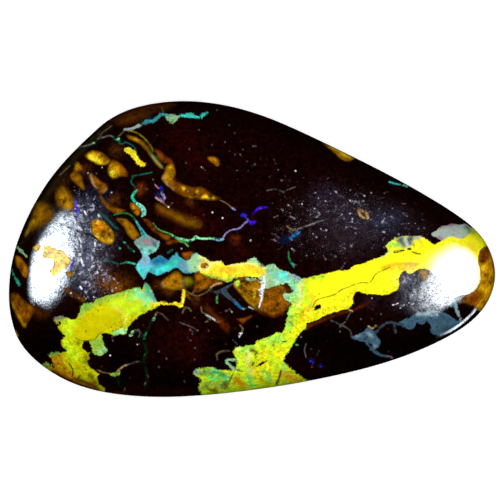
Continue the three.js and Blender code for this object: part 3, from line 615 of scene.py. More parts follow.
        [(94, 250), (94.2, 251.4)], [(98, 264.5), (98.8, 267)], [(97.3, 272), (97.8, 273)],
        [(80, 286.5, 0.9), (81.7, 289, 0.9)], [(84.5, 211), (86, 214.5)], [(78, 226.5), (79, 227.5)],
        [(98.2, 215), (99, 217)]),
}

# Single specks of one or two pixels in the ironstone; the white and pale ones are painted glints of the
# polish
specks = {
    "bright": ("white", 0.9, [(212.5, 212.5), (222.5, 218), (250.5, 240.5), (295.5, 171), (110.3, 355.3),
        (393.2, 305), (168.7, 207), (60.3, 289.7), (71, 293), (94, 297)]),
    "pale": ("paleGrey", 0.7, [(398, 303.3), (400.5, 308), (404, 305), (412.5, 295), (137.3, 344.5),
        (302, 204), (325.6, 201), (321, 229), (79, 298), (86, 298.5), (116, 288), (372, 298),
        (181.5, 248.5), (187.5, 191), (88, 173), (102, 167.5), (111.5, 192.5), (301.3, 337), (432, 316),
        (437, 315), (201.5, 167), (232, 312)]),
    "dim": ("greyIron", 1.0, [(96.5, 173.5), (78.5, 195.5), (91, 180), (74.5, 190.5), (341, 207),
        (344, 205), (290, 213), (291, 217), (217, 110), (229.5, 125), (234.5, 133), (225, 142), (212, 145),
        (235, 154.5), (189.5, 149), (199, 130), (192.5, 334), (197.5, 330.5), (190.5, 340.5), (195, 348),
        (194.5, 359.5), (184.5, 381.5), (159, 351.5), (166.5, 358.5), (159, 367), (253, 146), (255.5, 146),
        (153, 179.5), (147, 189), (172, 203), (226, 311), (229.5, 309.5), (257, 326.5), (381, 314),
        (372, 319), (361, 319), (340, 331.5), (133, 363), (164, 302), (186, 163), (205, 170)]),
    "blues": ("vividBlue", 1.0, [(310.5, 361), (313, 362.3), (321, 366.5)]),
    "reds": ("rust", 1.0, [(142, 186), (312, 367), (195, 217), (188, 221)]),
}

# Colours laid softly over the ironstone: tone, radius and places
ironShades = {
    "pitBrown": ("ochre", 4.0, [(203, 264)]),
    "redTop": ("redIron", 16.0, [(180, 135), (200, 160)], [(192, 345)]),
    "redMiddle": ("redIron", 10.0, [(175, 205), (195, 212)], [(180, 226), (215, 230)], [(205, 300)],
        [(240, 250)]),
    "redRim": ("redIron", 4.0, [(245, 111), (268, 119)]),
    # Painted sheen: violetHaze, violetCore and blueHaze lay the soft violet glow of the lamps, mirrored in
    # the polish, into the ironstone's colour.
    "violetHaze": ("plumIron", 20.0, [(325, 212), (365, 225)], [(345, 240)]),
    "violetCore": ("violetIron", 13.0, [(340, 208), (352, 222)], [(325, 197)]),
    "blueHaze": ("blueIron", 11.0, [(378, 222), (392, 220)]),
    # Painted sheen: leftHaze, haze2, rightGrain and rightShore lay the bluish glow round the lamps'
    # reflections into the ironstone's colour.
    "leftHaze": ("blueIron", 13.0, [(84, 210), (92, 285)], [(98, 200)]),
    "haze2": ("plumIron", 12.0, [(105, 262)], [(108, 240)]),
    "rightGrain": ("blueIron", 9.0, [(410, 285), (405, 300)], [(418, 305)]),
    "rightShore": ("plumIron", 9.0, [(396, 303)], [(372, 299)]),
    "brownHaze": ("umber", 10.0, [(102, 280), (122, 286)]),
    "brownHazeCore": ("brown", 5.0, [(107, 284), (118, 288)]),
    "brownCloud": ("redBrown", 4.0, [(161, 210), (172, 214), (182, 219), (196, 223)], [(235, 239)]),
    "brownLeft": ("brownIron", 6.0, [(62, 180)], [(44, 212)], [(114, 200)], [(116, 150)], [(85, 170)]),
    "redPatch": ("redBrown", 4.0, [(141, 187)], [(140, 191)]),
    "bandBed": ("brownIron", 4.0, [(190, 201)], [(158, 285), (170, 292)], [(196, 300)], [(208, 310)]),
    "dropGlow": ("greenIron", 4.0, [(95, 142)], [(118, 140)], [(114, 375)], [(132, 333)], [(122, 383)]),
    "coldGlow": ("navy", 2.6, [(150, 118)], [(158, 194)], [(243, 215)], [(252, 222)], [(283, 240),
        (297, 236)], [(392, 183)], [(311, 361)], [(321, 366)]),
    "black": ("blackIron", 22.0, [(430, 345), (340, 352)], [(60, 340), (40, 345)], [(120, 350), (120, 370)],
        [(165, 385), (185, 385)]),
    "blackRight": ("blackIron", 12.0, [(300, 345), (330, 335)], [(265, 322), (200, 362)], [(215, 350)]),
    "lowRed": ("redIron", 5.0, [(130, 392), (190, 394)]),
    "lowRedGlow": ("redIron", 14.0, [(175, 340), (195, 352)]),
}

# Zones where the opal is smooth instead of granular: how granular, radius and places
smoothOpal = {
    "mainBand": (0.08, 15.0, [(318, 292), (345, 280), (375, 275), (405, 255), (440, 255), (470, 262)],
        [(470, 240), (482, 238)]),
    "bandStart": (0.4, 7.0, [(212, 268), (255, 270)]),
    "leftTop": (0.25, 9.0, [(110, 300), (130, 305), (146, 296)]),
    "mass": (0.5, 9.0, [(146, 245), (155, 265), (195, 264)]),
    "eye": (0.05, 13.0, [(84, 332), (106, 318)]),
    "slates": (0.8, 12.0, [(356, 338), (374, 342)], [(410, 322), (450, 322)]),
    "greyPatch": (0.2, 9.0, [(440, 232), (466, 230)]),
}

# Pits of the polish, scattered by Geometry Nodes. Lengths are in pixels, but the depth is in mm.
pitScatter = {
    "Pits per mm2": 60.0,
    "Smallest radius": 0.1,
    "Largest radius": 1.1,
    "Smallness": 1.7,             # more makes more of them small
    "Lip": 1.2,                   # how far past its radius the skin dips towards a pit
    "Depth": 0.006,
    "Seed": 11,
}
pitBase = 0.02       # share of the full number outside the zones
pitLowest = 1.2      # mm, no pits below this height

# Zones where pits crowd, most of them by the lamps' reflections, where the pits' pale colour is a painted
# glint: share of the full number, radius and places
pitZones = {
    "middleHaze": (0.3, 26.0, [(295, 222), (330, 210), (365, 216), (400, 236)]),
    "middleLow": (0.2, 14.0, [(300, 250), (340, 246)]),
    "leftHaze": (1.0, 16.0, [(82, 212), (92, 240), (94, 285)]),
    "rightHaze": (0.7, 10.0, [(410, 282), (412, 302)]),
    "upper": (0.1, 22.0, [(240, 160), (290, 180)]),
    "lower": (0.08, 24.0, [(180, 345), (200, 330)]),
}


def linearTone(name):
    share = np.array(tones[name]) / 255
    return np.where(share <= 0.04045, share / 12.92, ((share + 0.055) / 1.055) ** 2.4)


# Each line of a dictionary of markings, with the tone and the size that go with it
def eachLine(markings):
    for first, size, *lines in markings.values():
        for line in lines:
            yield first, size, line


lineStep = 1.2       # pixels between the places of a smooth line
farAway = 9.0        # pixels, past which a marking has no effect
shadeReach = 2.2     # radii, past which a soft colour has no effect
tiny = 1e-9


# Smooth line through the given places, each with its half width
def smoothLine(places, halfWidth, closed):
    points = np.array([place if len(place) == 3 else (*place, halfWidth) for place in places], float)
    if len(points) == 1:
        return points
    count = len(points)
    line = []
    for index in range(count if closed else count - 1):
        if closed:
            before, start, end, after = (points[(index + k) % count] for k in (-1, 0, 1, 2))
        else:
            before, start, end, after = (points[min(max(index + k, 0), count - 1)] for k in (-1, 0, 1, 2))
        steps = max(2, int(np.hypot(*(end - start)[:2]) / lineStep))
        t = np.arange(steps)[:, None] / steps
        bend = 2 * before - 5 * start + 4 * end - after
        twist = 3 * start - before - 3 * end + after
        line.append(0.5 * (2 * start + (end - before) * t + bend * t ** 2 + twist * t ** 3))
    if not closed:
        line.append(points[-1:])
    return np.concatenate(line)


# Nearest place on a line for each given place: the way there, its length and the half width there
def nearestOnLine(places, line, closed):
    starts = line if closed else line[:-1]
    ends = np.roll(line, -1, 0) if closed else line[1:]
    if len(line) == 1:
        starts = ends = line
    run = (ends - starts)[:, :2]
    lengths = np.maximum((run ** 2).sum(1), tiny)
    away = places[:, None, :] - starts[None, :, :2]
    share = np.clip((away * run[None]).sum(2) / lengths, 0, 1)
    offset = share[..., None] * run[None] - away
    distance = (offset ** 2).sum(2)
    nearest = distance.argmin(1)
    each = np.arange(len(places))
    width = starts[nearest, 2] + share[each, nearest] * (ends - starts)[nearest, 2]
    return offset[each, nearest], np.sqrt(distance[each, nearest]), width


def insideOutline(places, line):
    starts = line[:, :2]
    ends = np.roll(starts, -1, 0)
    x, y = places[:, 0:1], places[:, 1:2]
    crosses = (starts[:, 1] > y) != (ends[:, 1] > y)
    fall = np.where(ends[:, 1] == starts[:, 1], tiny, ends[:, 1] - starts[:, 1])
    reach = starts[:, 0] + (y - starts[:, 1]) * (ends[:, 0] - starts[:, 0]) / fall
    return (crosses & (x < reach)).sum(1) % 2 == 1


# The markings of one kind as fields over the stone's points: how far each point is from the nearest
# edge, negative inside, and the colour there. Fine lines keep the way to their middle instead.
class MarkingField:
    def __init__(self, places, baseTone):
        self.places = places
        self.edge = np.full(len(places), farAway)
        self.tone = np.tile(linearTone(baseTone), (len(places), 1))
        self.offset = np.full((len(places), 3), farAway)
        self.distance = np.full(len(places), farAway)
        self.width = np.zeros(len(places))

    def near(self, line, margin):
        low = line[:, :2].min(0) - margin
        high = line[:, :2].max(0) + margin
        return np.flatnonzero(((self.places > low) & (self.places < high)).all(1))

    def tint(self, picked, toneName, cover):
        self.tone[picked] += (linearTone(toneName) - self.tone[picked]) * cover[:, None]

    def lay(self, picked, edge, toneName, softness):
        cover = np.clip(0.5 - edge / softness, 0, 1)
        nearer = (self.edge[picked] > 0) & (edge < self.edge[picked])
        self.tint(picked, toneName, np.where(nearer, 1.0, cover))
        self.edge[picked] = np.minimum(self.edge[picked], edge)

    # Points near a closed outline, and how far inside it each one is
    def depthInside(self, outline):
        line = smoothLine(outline, 0, True)
        picked = self.near(line, farAway)
        distance = nearestOnLine(self.places[picked], line, True)[1]
        return picked, np.where(insideOutline(self.places[picked], line), distance, -distance)

    # The edge is measured in the given unit, so that soft patches also have soft outer edges
    def addPatch(self, toneName, outline, softness, unit=1.0):
        picked, depth = self.depthInside(outline)
        self.lay(picked, -depth / unit, toneName, softness / unit)

    def cutWindow(self, outline):
        picked, depth = self.depthInside(outline)
        self.edge[picked] = np.maximum(self.edge[picked], depth)

    def addStrand(self, toneName, halfWidth, points, softness=1.2):
        line = smoothLine(points, halfWidth, False)
        picked = self.near(line, farAway + halfWidth)
        _, distance, width = nearestOnLine(self.places[picked], line, False)
        self.lay(picked, distance - width, toneName, softness)

    def addFineLine(self, toneName, halfWidth, points):
        line = smoothLine(points, halfWidth, False)
        picked = self.near(line, farAway)
        offset, distance, width = nearestOnLine(self.places[picked], line, False)
        nearer = distance - width < self.distance[picked] - self.width[picked]
        picked = picked[nearer]
        self.offset[picked, :2] = offset[nearer]
        self.offset[picked, 2] = 0
        self.distance[picked] = distance[nearer]
        self.width[picked] = width[nearer]
        self.tone[picked] = linearTone(toneName)

    def shade(self, toneName, radius, points):
        line = smoothLine(points, 0, False)
        picked = self.near(line, radius * shadeReach)
        distance = nearestOnLine(self.places[picked], line, False)[1]
        self.tint(picked, toneName, np.exp(-(distance / radius) ** 2))


# The rim as the frame's stone has it, ordered round the summit
def rimFromFrame():
    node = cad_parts["stone"]
    corners = np.array([node.matrix_world @ vertex.co for vertex in node.data.vertices]) / millimetre
    ring = corners[np.abs(corners[:, 2] - stoneForm["girdleTop"]) < 0.002][:, :2]
    ring = np.unique(ring.round(4), axis=0)
    across = ring - summit
    return ring[np.argsort(np.arctan2(across[:, 1], across[:, 0]))]


# Places at even distances round the closed rim
def evenRing(curve, count):
    closed = np.vstack([curve, curve[:1]])
    along = np.concatenate([[0], np.cumsum(np.hypot(*np.diff(closed, axis=0).T))])
    wanted = np.arange(count) / count * along[-1]
    return np.stack([np.interp(wanted, along, closed[:, 0]), np.interp(wanted, along, closed[:, 1])], 1)


# Rows of the skin from the summit to the middle of the back: share of the rim's size, height and distance
# between points
def skinRows():
    girdleTop, girdleBottom = stoneForm["girdleTop"], stoneForm["girdleBottom"]
    backShare, sideStep = stoneForm["backShare"], stoneForm["sideStep"]
    power = 2 / stoneForm["domeFullness"]
    angle = np.linspace(0, math.pi / 2, 4001)
    share = np.sin(angle) ** power
    height = girdleTop + domeRise * np.maximum(np.cos(angle), 0) ** power
    travel = np.hypot(np.diff(share) * stoneForm["reach"], np.diff(height) * stoneForm["steepWeight"])
    along = np.concatenate([[0], np.cumsum(travel)])
    rows = []
    for place in np.linspace(0, along[-1], round(along[-1] / stoneForm["faceStep"]) + 1)[1:]:
        at = np.interp(place, along, angle)
        rowShare = math.sin(at) ** power
        spread = 1 if rowShare < stoneForm["edgeShare"] else stoneForm["edgeSpread"]
        rows.append((rowShare, girdleTop + domeRise * max(math.cos(at), 0) ** power,
                     stoneForm["faceStep"] * spread))
    for step in range(1, stoneForm["sideRows"] + 1):
        rows.append((1.0, girdleTop + (girdleBottom - girdleTop) * (step / stoneForm["sideRows"]), sideStep))
    for step in range(1, stoneForm["bevelRows"] + 1):
        turn = step / stoneForm["bevelRows"] * math.pi / 2
        rows.append((1 - (1 - backShare) * (1 - math.cos(turn)), girdleBottom * (1 - math.sin(turn)),
                     sideStep * stoneForm["bevelSpread"]))
    inward = round(backShare * stoneForm["reach"] / stoneForm["backStep"])
    for step in range(1, inward):
        rows.append((backShare * (1 - step / inward), 0.0, stoneForm["backStep"]))
    return rows


# Faces between two closed rings of points that start at the same place
def zipRings(first, firstCount, second, secondCount):
    zipped = []
    a = b = 0
    while a < firstCount or b < secondCount:
        here, there = first + a % firstCount, second + b % secondCount
        if b >= secondCount or (a < firstCount and (a + 1) * secondCount <= (b + 1) * firstCount):
            zipped.append((here, there, first + (a + 1) % firstCount))
            a += 1
        else:
            zipped.append((here, there, second + (b + 1) % secondCount))
            b += 1
    return zipped


# Low waves, the same each run
def softWaves(x, y, length, seed, count=9):
    dice = np.random.default_rng(seed)
    fullTurn = 2 * math.pi
    total = np.zeros_like(x)
    for _ in range(count):
        turn, phase, stretch = dice.uniform(0, fullTurn), dice.uniform(0, fullTurn), dice.uniform(0.6, 1.8)
        total += np.sin((x * math.cos(turn) + y * math.sin(turn)) * fullTurn / (length * stretch) + phase)
    return total / math.sqrt(count)


def buildSkin():
    finer = 20           # makes the smooth line's steps this much shorter
    curve = smoothLine([tuple(point * finer) for point in rimFromFrame()], 0, True)[:, :2] / finer
    perimeter = np.hypot(*np.diff(np.vstack([curve, curve[:1]]), axis=0).T).sum()
    parts = [np.array([[*summit, stoneHeight]])]
    rows = []
    for share, height, step in skinRows():
        count = max(6, round(perimeter * share / step))
        ring = summit + (evenRing(curve, count) - summit) * share
        rows.append((sum(len(part) for part in parts), count, share, height))
        parts.append(np.column_stack([ring, np.full(count, height)]))
    parts.append(np.array([[*summit, 0.0]]))
    skinPoints = np.concatenate(parts)
    skinFaces = [(0, 1 + k, 1 + (k + 1) % rows[0][1]) for k in range(rows[0][1])]
    for (first, firstCount, *_), (second, secondCount, *_) in zip(rows, rows[1:]):
        skinFaces += zipRings(first, firstCount, second, secondCount)
    last, lastCount = rows[-1][:2]
    back = len(skinPoints) - 1
    skinFaces += [(back, last + (k + 1) % lastCount, last + k) for k in range(lastCount)]
    return skinPoints, np.array(skinFaces), rows


print("Building the stone's skin")
points, faces, rings = buildSkin()
faceEnd = next(start for start, _, share, height in rings if height < stoneForm["girdleTop"] - 0.01)
backStart = next(start for start, _, share, height in rings if height <= 0.0001)
print("points", len(points), "faces", len(faces))

# The unevenness of the polish fades out towards the rim and isn't on the back
rimFade = np.clip((points[:, 2] - stoneForm["girdleTop"]) / stoneForm["waveFade"], 0, 1)
waves = softWaves(points[:, 0], points[:, 1], stoneForm["waveLength"], stoneForm["seed"])
crest = 1.6          # waves past this are cut off
points[:, 2] -= (0.5 + 0.5 * np.clip(waves, -crest, crest) / crest) * stoneForm["waveHeight"] * rimFade

# Where the photograph shows each point
nearness = cameraDistance / (cameraDistance - (points[:, 2] - stoneForm["girdleTop"]))
nearness[faceEnd:] = 1.0
picture = np.stack([photoView["centre"][0] + (points[:, 0] - cameraX) * nearness / pixel,
                    photoView["centre"][1] - (points[:, 1] - cameraY) * nearness / pixel], 1)

# On the side, bands lean along the rim as they run down, each stretch its own way
side = slice(faceEnd, backStart)
drop = (stoneForm["girdleTop"] - points[side, 2]) / pixel
lean = softWaves(points[side, 0], points[side, 1], stoneForm["leanLength"], stoneForm["seed"] + 1)
outward = points[side, :2] - summit
outward /= np.hypot(*outward.T)[:, None]
picture[side] += np.stack([outward[:, 1], outward[:, 0]], 1) * (lean * drop * stoneForm["lean"])[:, None]

print("Laying the markings")
clay = MarkingField(picture, "brown")
for toneName, softness, outline in clayPatches.values():
    clay.addPatch(toneName, outline, softness, softness)
for marking in eachLine(clayShades):
    clay.shade(*marking)

opal = MarkingField(picture, "lemon")
for toneName, softness, outline in opalPatches.values():
    opal.addPatch(toneName, outline, softness)
for marking in eachLine(opalStrands):
    opal.addStrand(*marking)
for marking in eachLine(opalShades):
    opal.shade(*marking)
for outline in ironWindows.values():
    opal.cutWindow(outline)

fine = MarkingField(picture, "pearl")
for marking in eachLine(fineLines):
    fine.addFineLine(*marking)
for toneName, halfWidth, places in specks.values():
    for place in places:
        fine.addFineLine(toneName, halfWidth, [place])

iron = MarkingField(picture, "iron")
for marking in eachLine(ironShades):
    iron.shade(*marking)


# How strongly each point belongs to the zones of a dictionary, from their share, radius and places
def zoneShare(base, zones):
    share = np.full(len(points), float(base))
    for full, radius, line in eachLine(zones):
        distance = nearestOnLine(picture, smoothLine(line, 0, False), False)[1]
        share += (full - share) * np.exp(-(distance / radius) ** 2)
    return share


# The markings grow dim along the rim under a painted shade of the steep edge, and are gone on the underside
offTheFace = 99.0
rimGap = np.full(len(points), offTheFace)
underside = np.zeros(len(points))
for start, count, share, height in rings:
    ring = slice(start, start + count)
    if height >= stoneForm["girdleTop"] - 0.001:
        rimGap[ring] = (1 - share) * np.hypot(*(points[ring, :2] - summit).T) / share / pixel
    if height <= stoneForm["girdleBottom"]:
        inFromEdge = (1 - share) * stoneForm["reach"] / pixel
        underside[ring] = np.clip(inFromEdge / stoneForm["undersideFade"], 0, 1)
underside[-1] = 1.0

skin = bpy.data.meshes.new("boulderOpal")
skin.from_pydata((points * millimetre).tolist(), [], faces.tolist())
skin.update()
skin.shade_smooth()

pitShare = np.clip(zoneShare(pitBase, pitZones), 0, 1) * (points[:, 2] > pitLowest)
for name, values in {
        "clayEdge": clay.edge, "clayTone": clay.tone, "opalEdge": opal.edge, "opalTone": opal.tone,
        "ironTone": iron.tone, "fineTone": fine.tone, "fineOffset": fine.offset,
        "fineDistance": fine.distance, "fineWidth": fine.width, "rimGap": rimGap, "underside": underside,
        "opalGrain": zoneShare(1.0, smoothOpal), "pitShare": pitShare}.items():
    kind, field = ("FLOAT_VECTOR", "vector") if values.ndim == 2 else ("FLOAT", "value")
    stored = skin.attributes.new(name, kind, "POINT")
    stored.data.foreach_set(field, np.ascontiguousarray(values, dtype=np.float32).ravel())


# The unfolded map: the face and its edge on one island, the back on another below it
def unfold():
    margin = 0.012
    backSize = 0.56          # of the back's island against the face's
    low = np.array(cadBox[0][:2]) / millimetre
    high = np.array(cadBox[1][:2]) / millimetre
    scale = (1 - 2 * margin) / (high - low)[0]
    frontRows = [row for row in rings if row[3] > stoneForm["girdleBottom"] - 0.001]
    radius = np.zeros(len(points))
    travelled = 0.0
    before = (0.0, stoneHeight)
    for start, count, share, height in frontRows:
        travelled += math.hypot((share - before[0]) * stoneForm["reach"], height - before[1])
        before = (share, height)
        radius[start:start + count] = travelled
    shares = np.ones(len(points))
    for start, count, share, height in rings:
        shares[start:start + count] = share
    rimward = (points[:, :2] - summit) / shares[:, None]
    front = margin + (summit + rimward * (radius / travelled)[:, None] - low) * scale
    front[:, 1] += 1 - 2 * margin - (high - low)[1] * scale
    back = margin + (points[:, :2] - low) * (scale * backSize)
    frontEnd = frontRows[-1][0] + frontRows[-1][1]
    corner = faces.ravel()
    onFront = np.repeat((faces < frontEnd).all(1), 3)
    unfolded = np.where(onFront[:, None], front[corner], back[corner])
    layer = skin.uv_layers.new(name="OFBake")
    layer.data.foreach_set("uv", unfolded.astype(np.float32).ravel())


unfold()


def setInput(tree, socket, value):
    if isinstance(value, bpy.types.NodeSocket):
        tree.links.new(value, socket)
    else:
        socket.default_value = value


def addNode(tree, kind, inputs=None, **settings):
    made = tree.nodes.new(kind)
    for name, value in settings.items():
        setattr(made, name, value)
    for name, value in (inputs or {}).items():
        setInput(tree, made.inputs[name], value)
    return made


def calc(tree, operation, first, second=0.0, third=0.0):
    return addNode(tree, "ShaderNodeMath", {0: first, 1: second, 2: third}, operation=operation).outputs[0]


def vectorCalc(tree, operation, inputs, output=0):
    return addNode(tree, "ShaderNodeVectorMath", inputs, operation=operation).outputs[output]


# Geometry Nodes scatters the pits of the polish over the face: each point of the skin is told the way to
# the nearest pit, its distance, its radius and how light it is, and the skin dips a little into each
def pitTree(material):
    tree = bpy.data.node_groups.new("polish pits", "GeometryNodeTree")
    sockets = tree.interface
    sockets.new_socket("Geometry", in_out="OUTPUT", socket_type="NodeSocketGeometry")
    sockets.new_socket("Geometry", in_out="INPUT", socket_type="NodeSocketGeometry")
    for name, value in pitScatter.items():
        kind = "NodeSocketInt" if isinstance(value, int) else "NodeSocketFloat"
        sockets.new_socket(name, in_out="INPUT", socket_type=kind)
    given = addNode(tree, "NodeGroupInput").outputs
    crowd = addNode(tree, "GeometryNodeInputNamedAttribute", {"Name": "pitShare"}, data_type="FLOAT")
    perSquareMetre = calc(tree, "MULTIPLY", given["Pits per mm2"], 1 / millimetre ** 2)
    pits = addNode(tree, "GeometryNodeDistributePointsOnFaces", {
        "Mesh": given["Geometry"], "Seed": given["Seed"],
        "Density": calc(tree, "MULTIPLY", crowd.outputs[0], perSquareMetre)}).outputs[0]
    place = addNode(tree, "GeometryNodeInputPosition").outputs[0]
    nearest = addNode(tree, "GeometryNodeSampleNearest", {"Geometry": pits}).outputs[0]

    def fromNearest(kind, value):
        return addNode(tree, "GeometryNodeSampleIndex", {"Geometry": pits, "Value": value, "Index": nearest},
                       data_type=kind).outputs[0]

    def dice(seed):
        made = addNode(tree, "FunctionNodeRandomValue", data_type="FLOAT")
        least, most = [socket for socket in made.inputs if socket.enabled][:2]
        least.default_value = 0.0
        most.default_value = 1.0
        made.inputs["Seed"].default_value = seed
        return next(socket for socket in made.outputs if socket.enabled)

    away = vectorCalc(tree, "SUBTRACT", {0: fromNearest("FLOAT_VECTOR", place), 1: place})
    offset = vectorCalc(tree, "SCALE", {0: away, 3: perPixel})
    distance = vectorCalc(tree, "LENGTH", {0: offset}, "Value")
    widest, narrowest = given["Largest radius"], given["Smallest radius"]
    spread = calc(tree, "POWER", dice(3), given["Smallness"])
    spread = calc(tree, "MULTIPLY_ADD", spread, calc(tree, "SUBTRACT", widest, narrowest), narrowest)
    width = fromNearest("FLOAT", spread)
    light = fromNearest("FLOAT", dice(5))
    geometry = given["Geometry"]
    for name, kind, value in (("pitOffset", "FLOAT_VECTOR", offset), ("pitDistance", "FLOAT", distance),
                              ("pitWidth", "FLOAT", width), ("pitLight", "FLOAT", light)):
        geometry = addNode(tree, "GeometryNodeStoreNamedAttribute",
                           {"Geometry": geometry, "Name": name, "Value": value}, data_type=kind).outputs[0]
    dipWidth = calc(tree, "ADD", width, given["Lip"])
    dip = calc(tree, "SUBTRACT", 1.0, calc(tree, "DIVIDE", distance, dipWidth))
    dip = calc(tree, "MULTIPLY", calc(tree, "MAXIMUM", dip, 0.0), given["Depth"])
    down = addNode(tree, "ShaderNodeCombineXYZ", {"Z": calc(tree, "MULTIPLY", dip, -millimetre)}).outputs[0]
    for kind, inputs in (("SetPosition", {"Offset": down}), ("RealizeInstances", {}),
                         ("SetMaterial", {"Material": material})):
        geometry = addNode(tree, "GeometryNode" + kind, {"Geometry": geometry, **inputs}).outputs[0]
    addNode(tree, "NodeGroupOutput", {"Geometry": geometry})
    return tree


def addObject(name, data):
    made = bpy.data.objects.new(name, data)
    bpy.context.scene.collection.objects.link(made)
    return made


def pittedStone(material):
    plain = addObject("unpitted", skin)
    modifier = plain.modifiers.new("pits", "NODES")
    modifier.node_group = pitTree(material)
    for item in modifier.node_group.interface.items_tree:
        if item.in_out == "INPUT" and item.name in pitScatter:
            modifier[item.identifier] = pitScatter[item.name]
    depsgraph = bpy.context.evaluated_depsgraph_get()
    mesh = bpy.data.meshes.new_from_object(plain.evaluated_get(depsgraph), preserve_all_data_layers=True,
                                           depsgraph=depsgraph)
    plain.modifiers.remove(modifier)
    bpy.data.objects.remove(plain)
    mesh.name = "boulderOpal"
    return addObject("boulderOpal", mesh)


# The stone's finish. Shares and roughness run from 0 to 1.
stoneLook = {
    "ironContrast": (5.5, 3.6, 1.6),     # of its ragged noise, its grain and its fine grain
    "clayContrast": (3.2, 3.6, 1.7),     # of its mottling, its ragged noise and its grain
    "darkest": 0.12,                     # no grain of ironstone or clay is darker than this share
    "clayEdge": 0.75,                    # softness of its edge, in pixels
    "opalEdge": 0.55,
    "cellSize": 0.3,                     # cells of the opal to a pixel
    "cellBend": 11,                      # pixels by which noise bends them
    "cellSmoothness": 0.25,
    "cellContrast": 0.5,
    "hueSpread": 0.08,
    "smoothGain": 1.04,                  # brightness of opal without cells
    "rimShadeLine": (0.3, 1.3),               # pixels in from the rim, over which the painted rim shade fades and markings become full
    "clayInRimShade": 0.4,
    "opalInRimShade": 0.65,
    # strength of the pale specks where the pits crowd: painted glints
    "glintSpecks": 0.5,
    "pitInside": 0.4,                    # brightness of a pit in clay or opal
    "ironRoughness": 0.36,
    "clayRoughness": 0.55,
    "opalRoughness": 0.22,
    "backRoughness": 0.5,
    "clayPolish": 0.05,
    "opalPolish": 0.92,
    "finePolish": 0.25,
    "backPolish": 0.1,
    "coatRoughness": 0.05,
    "refraction": 1.5,
    "bump": 0.12,
    "bumpDepth": 0.02,                   # mm
}


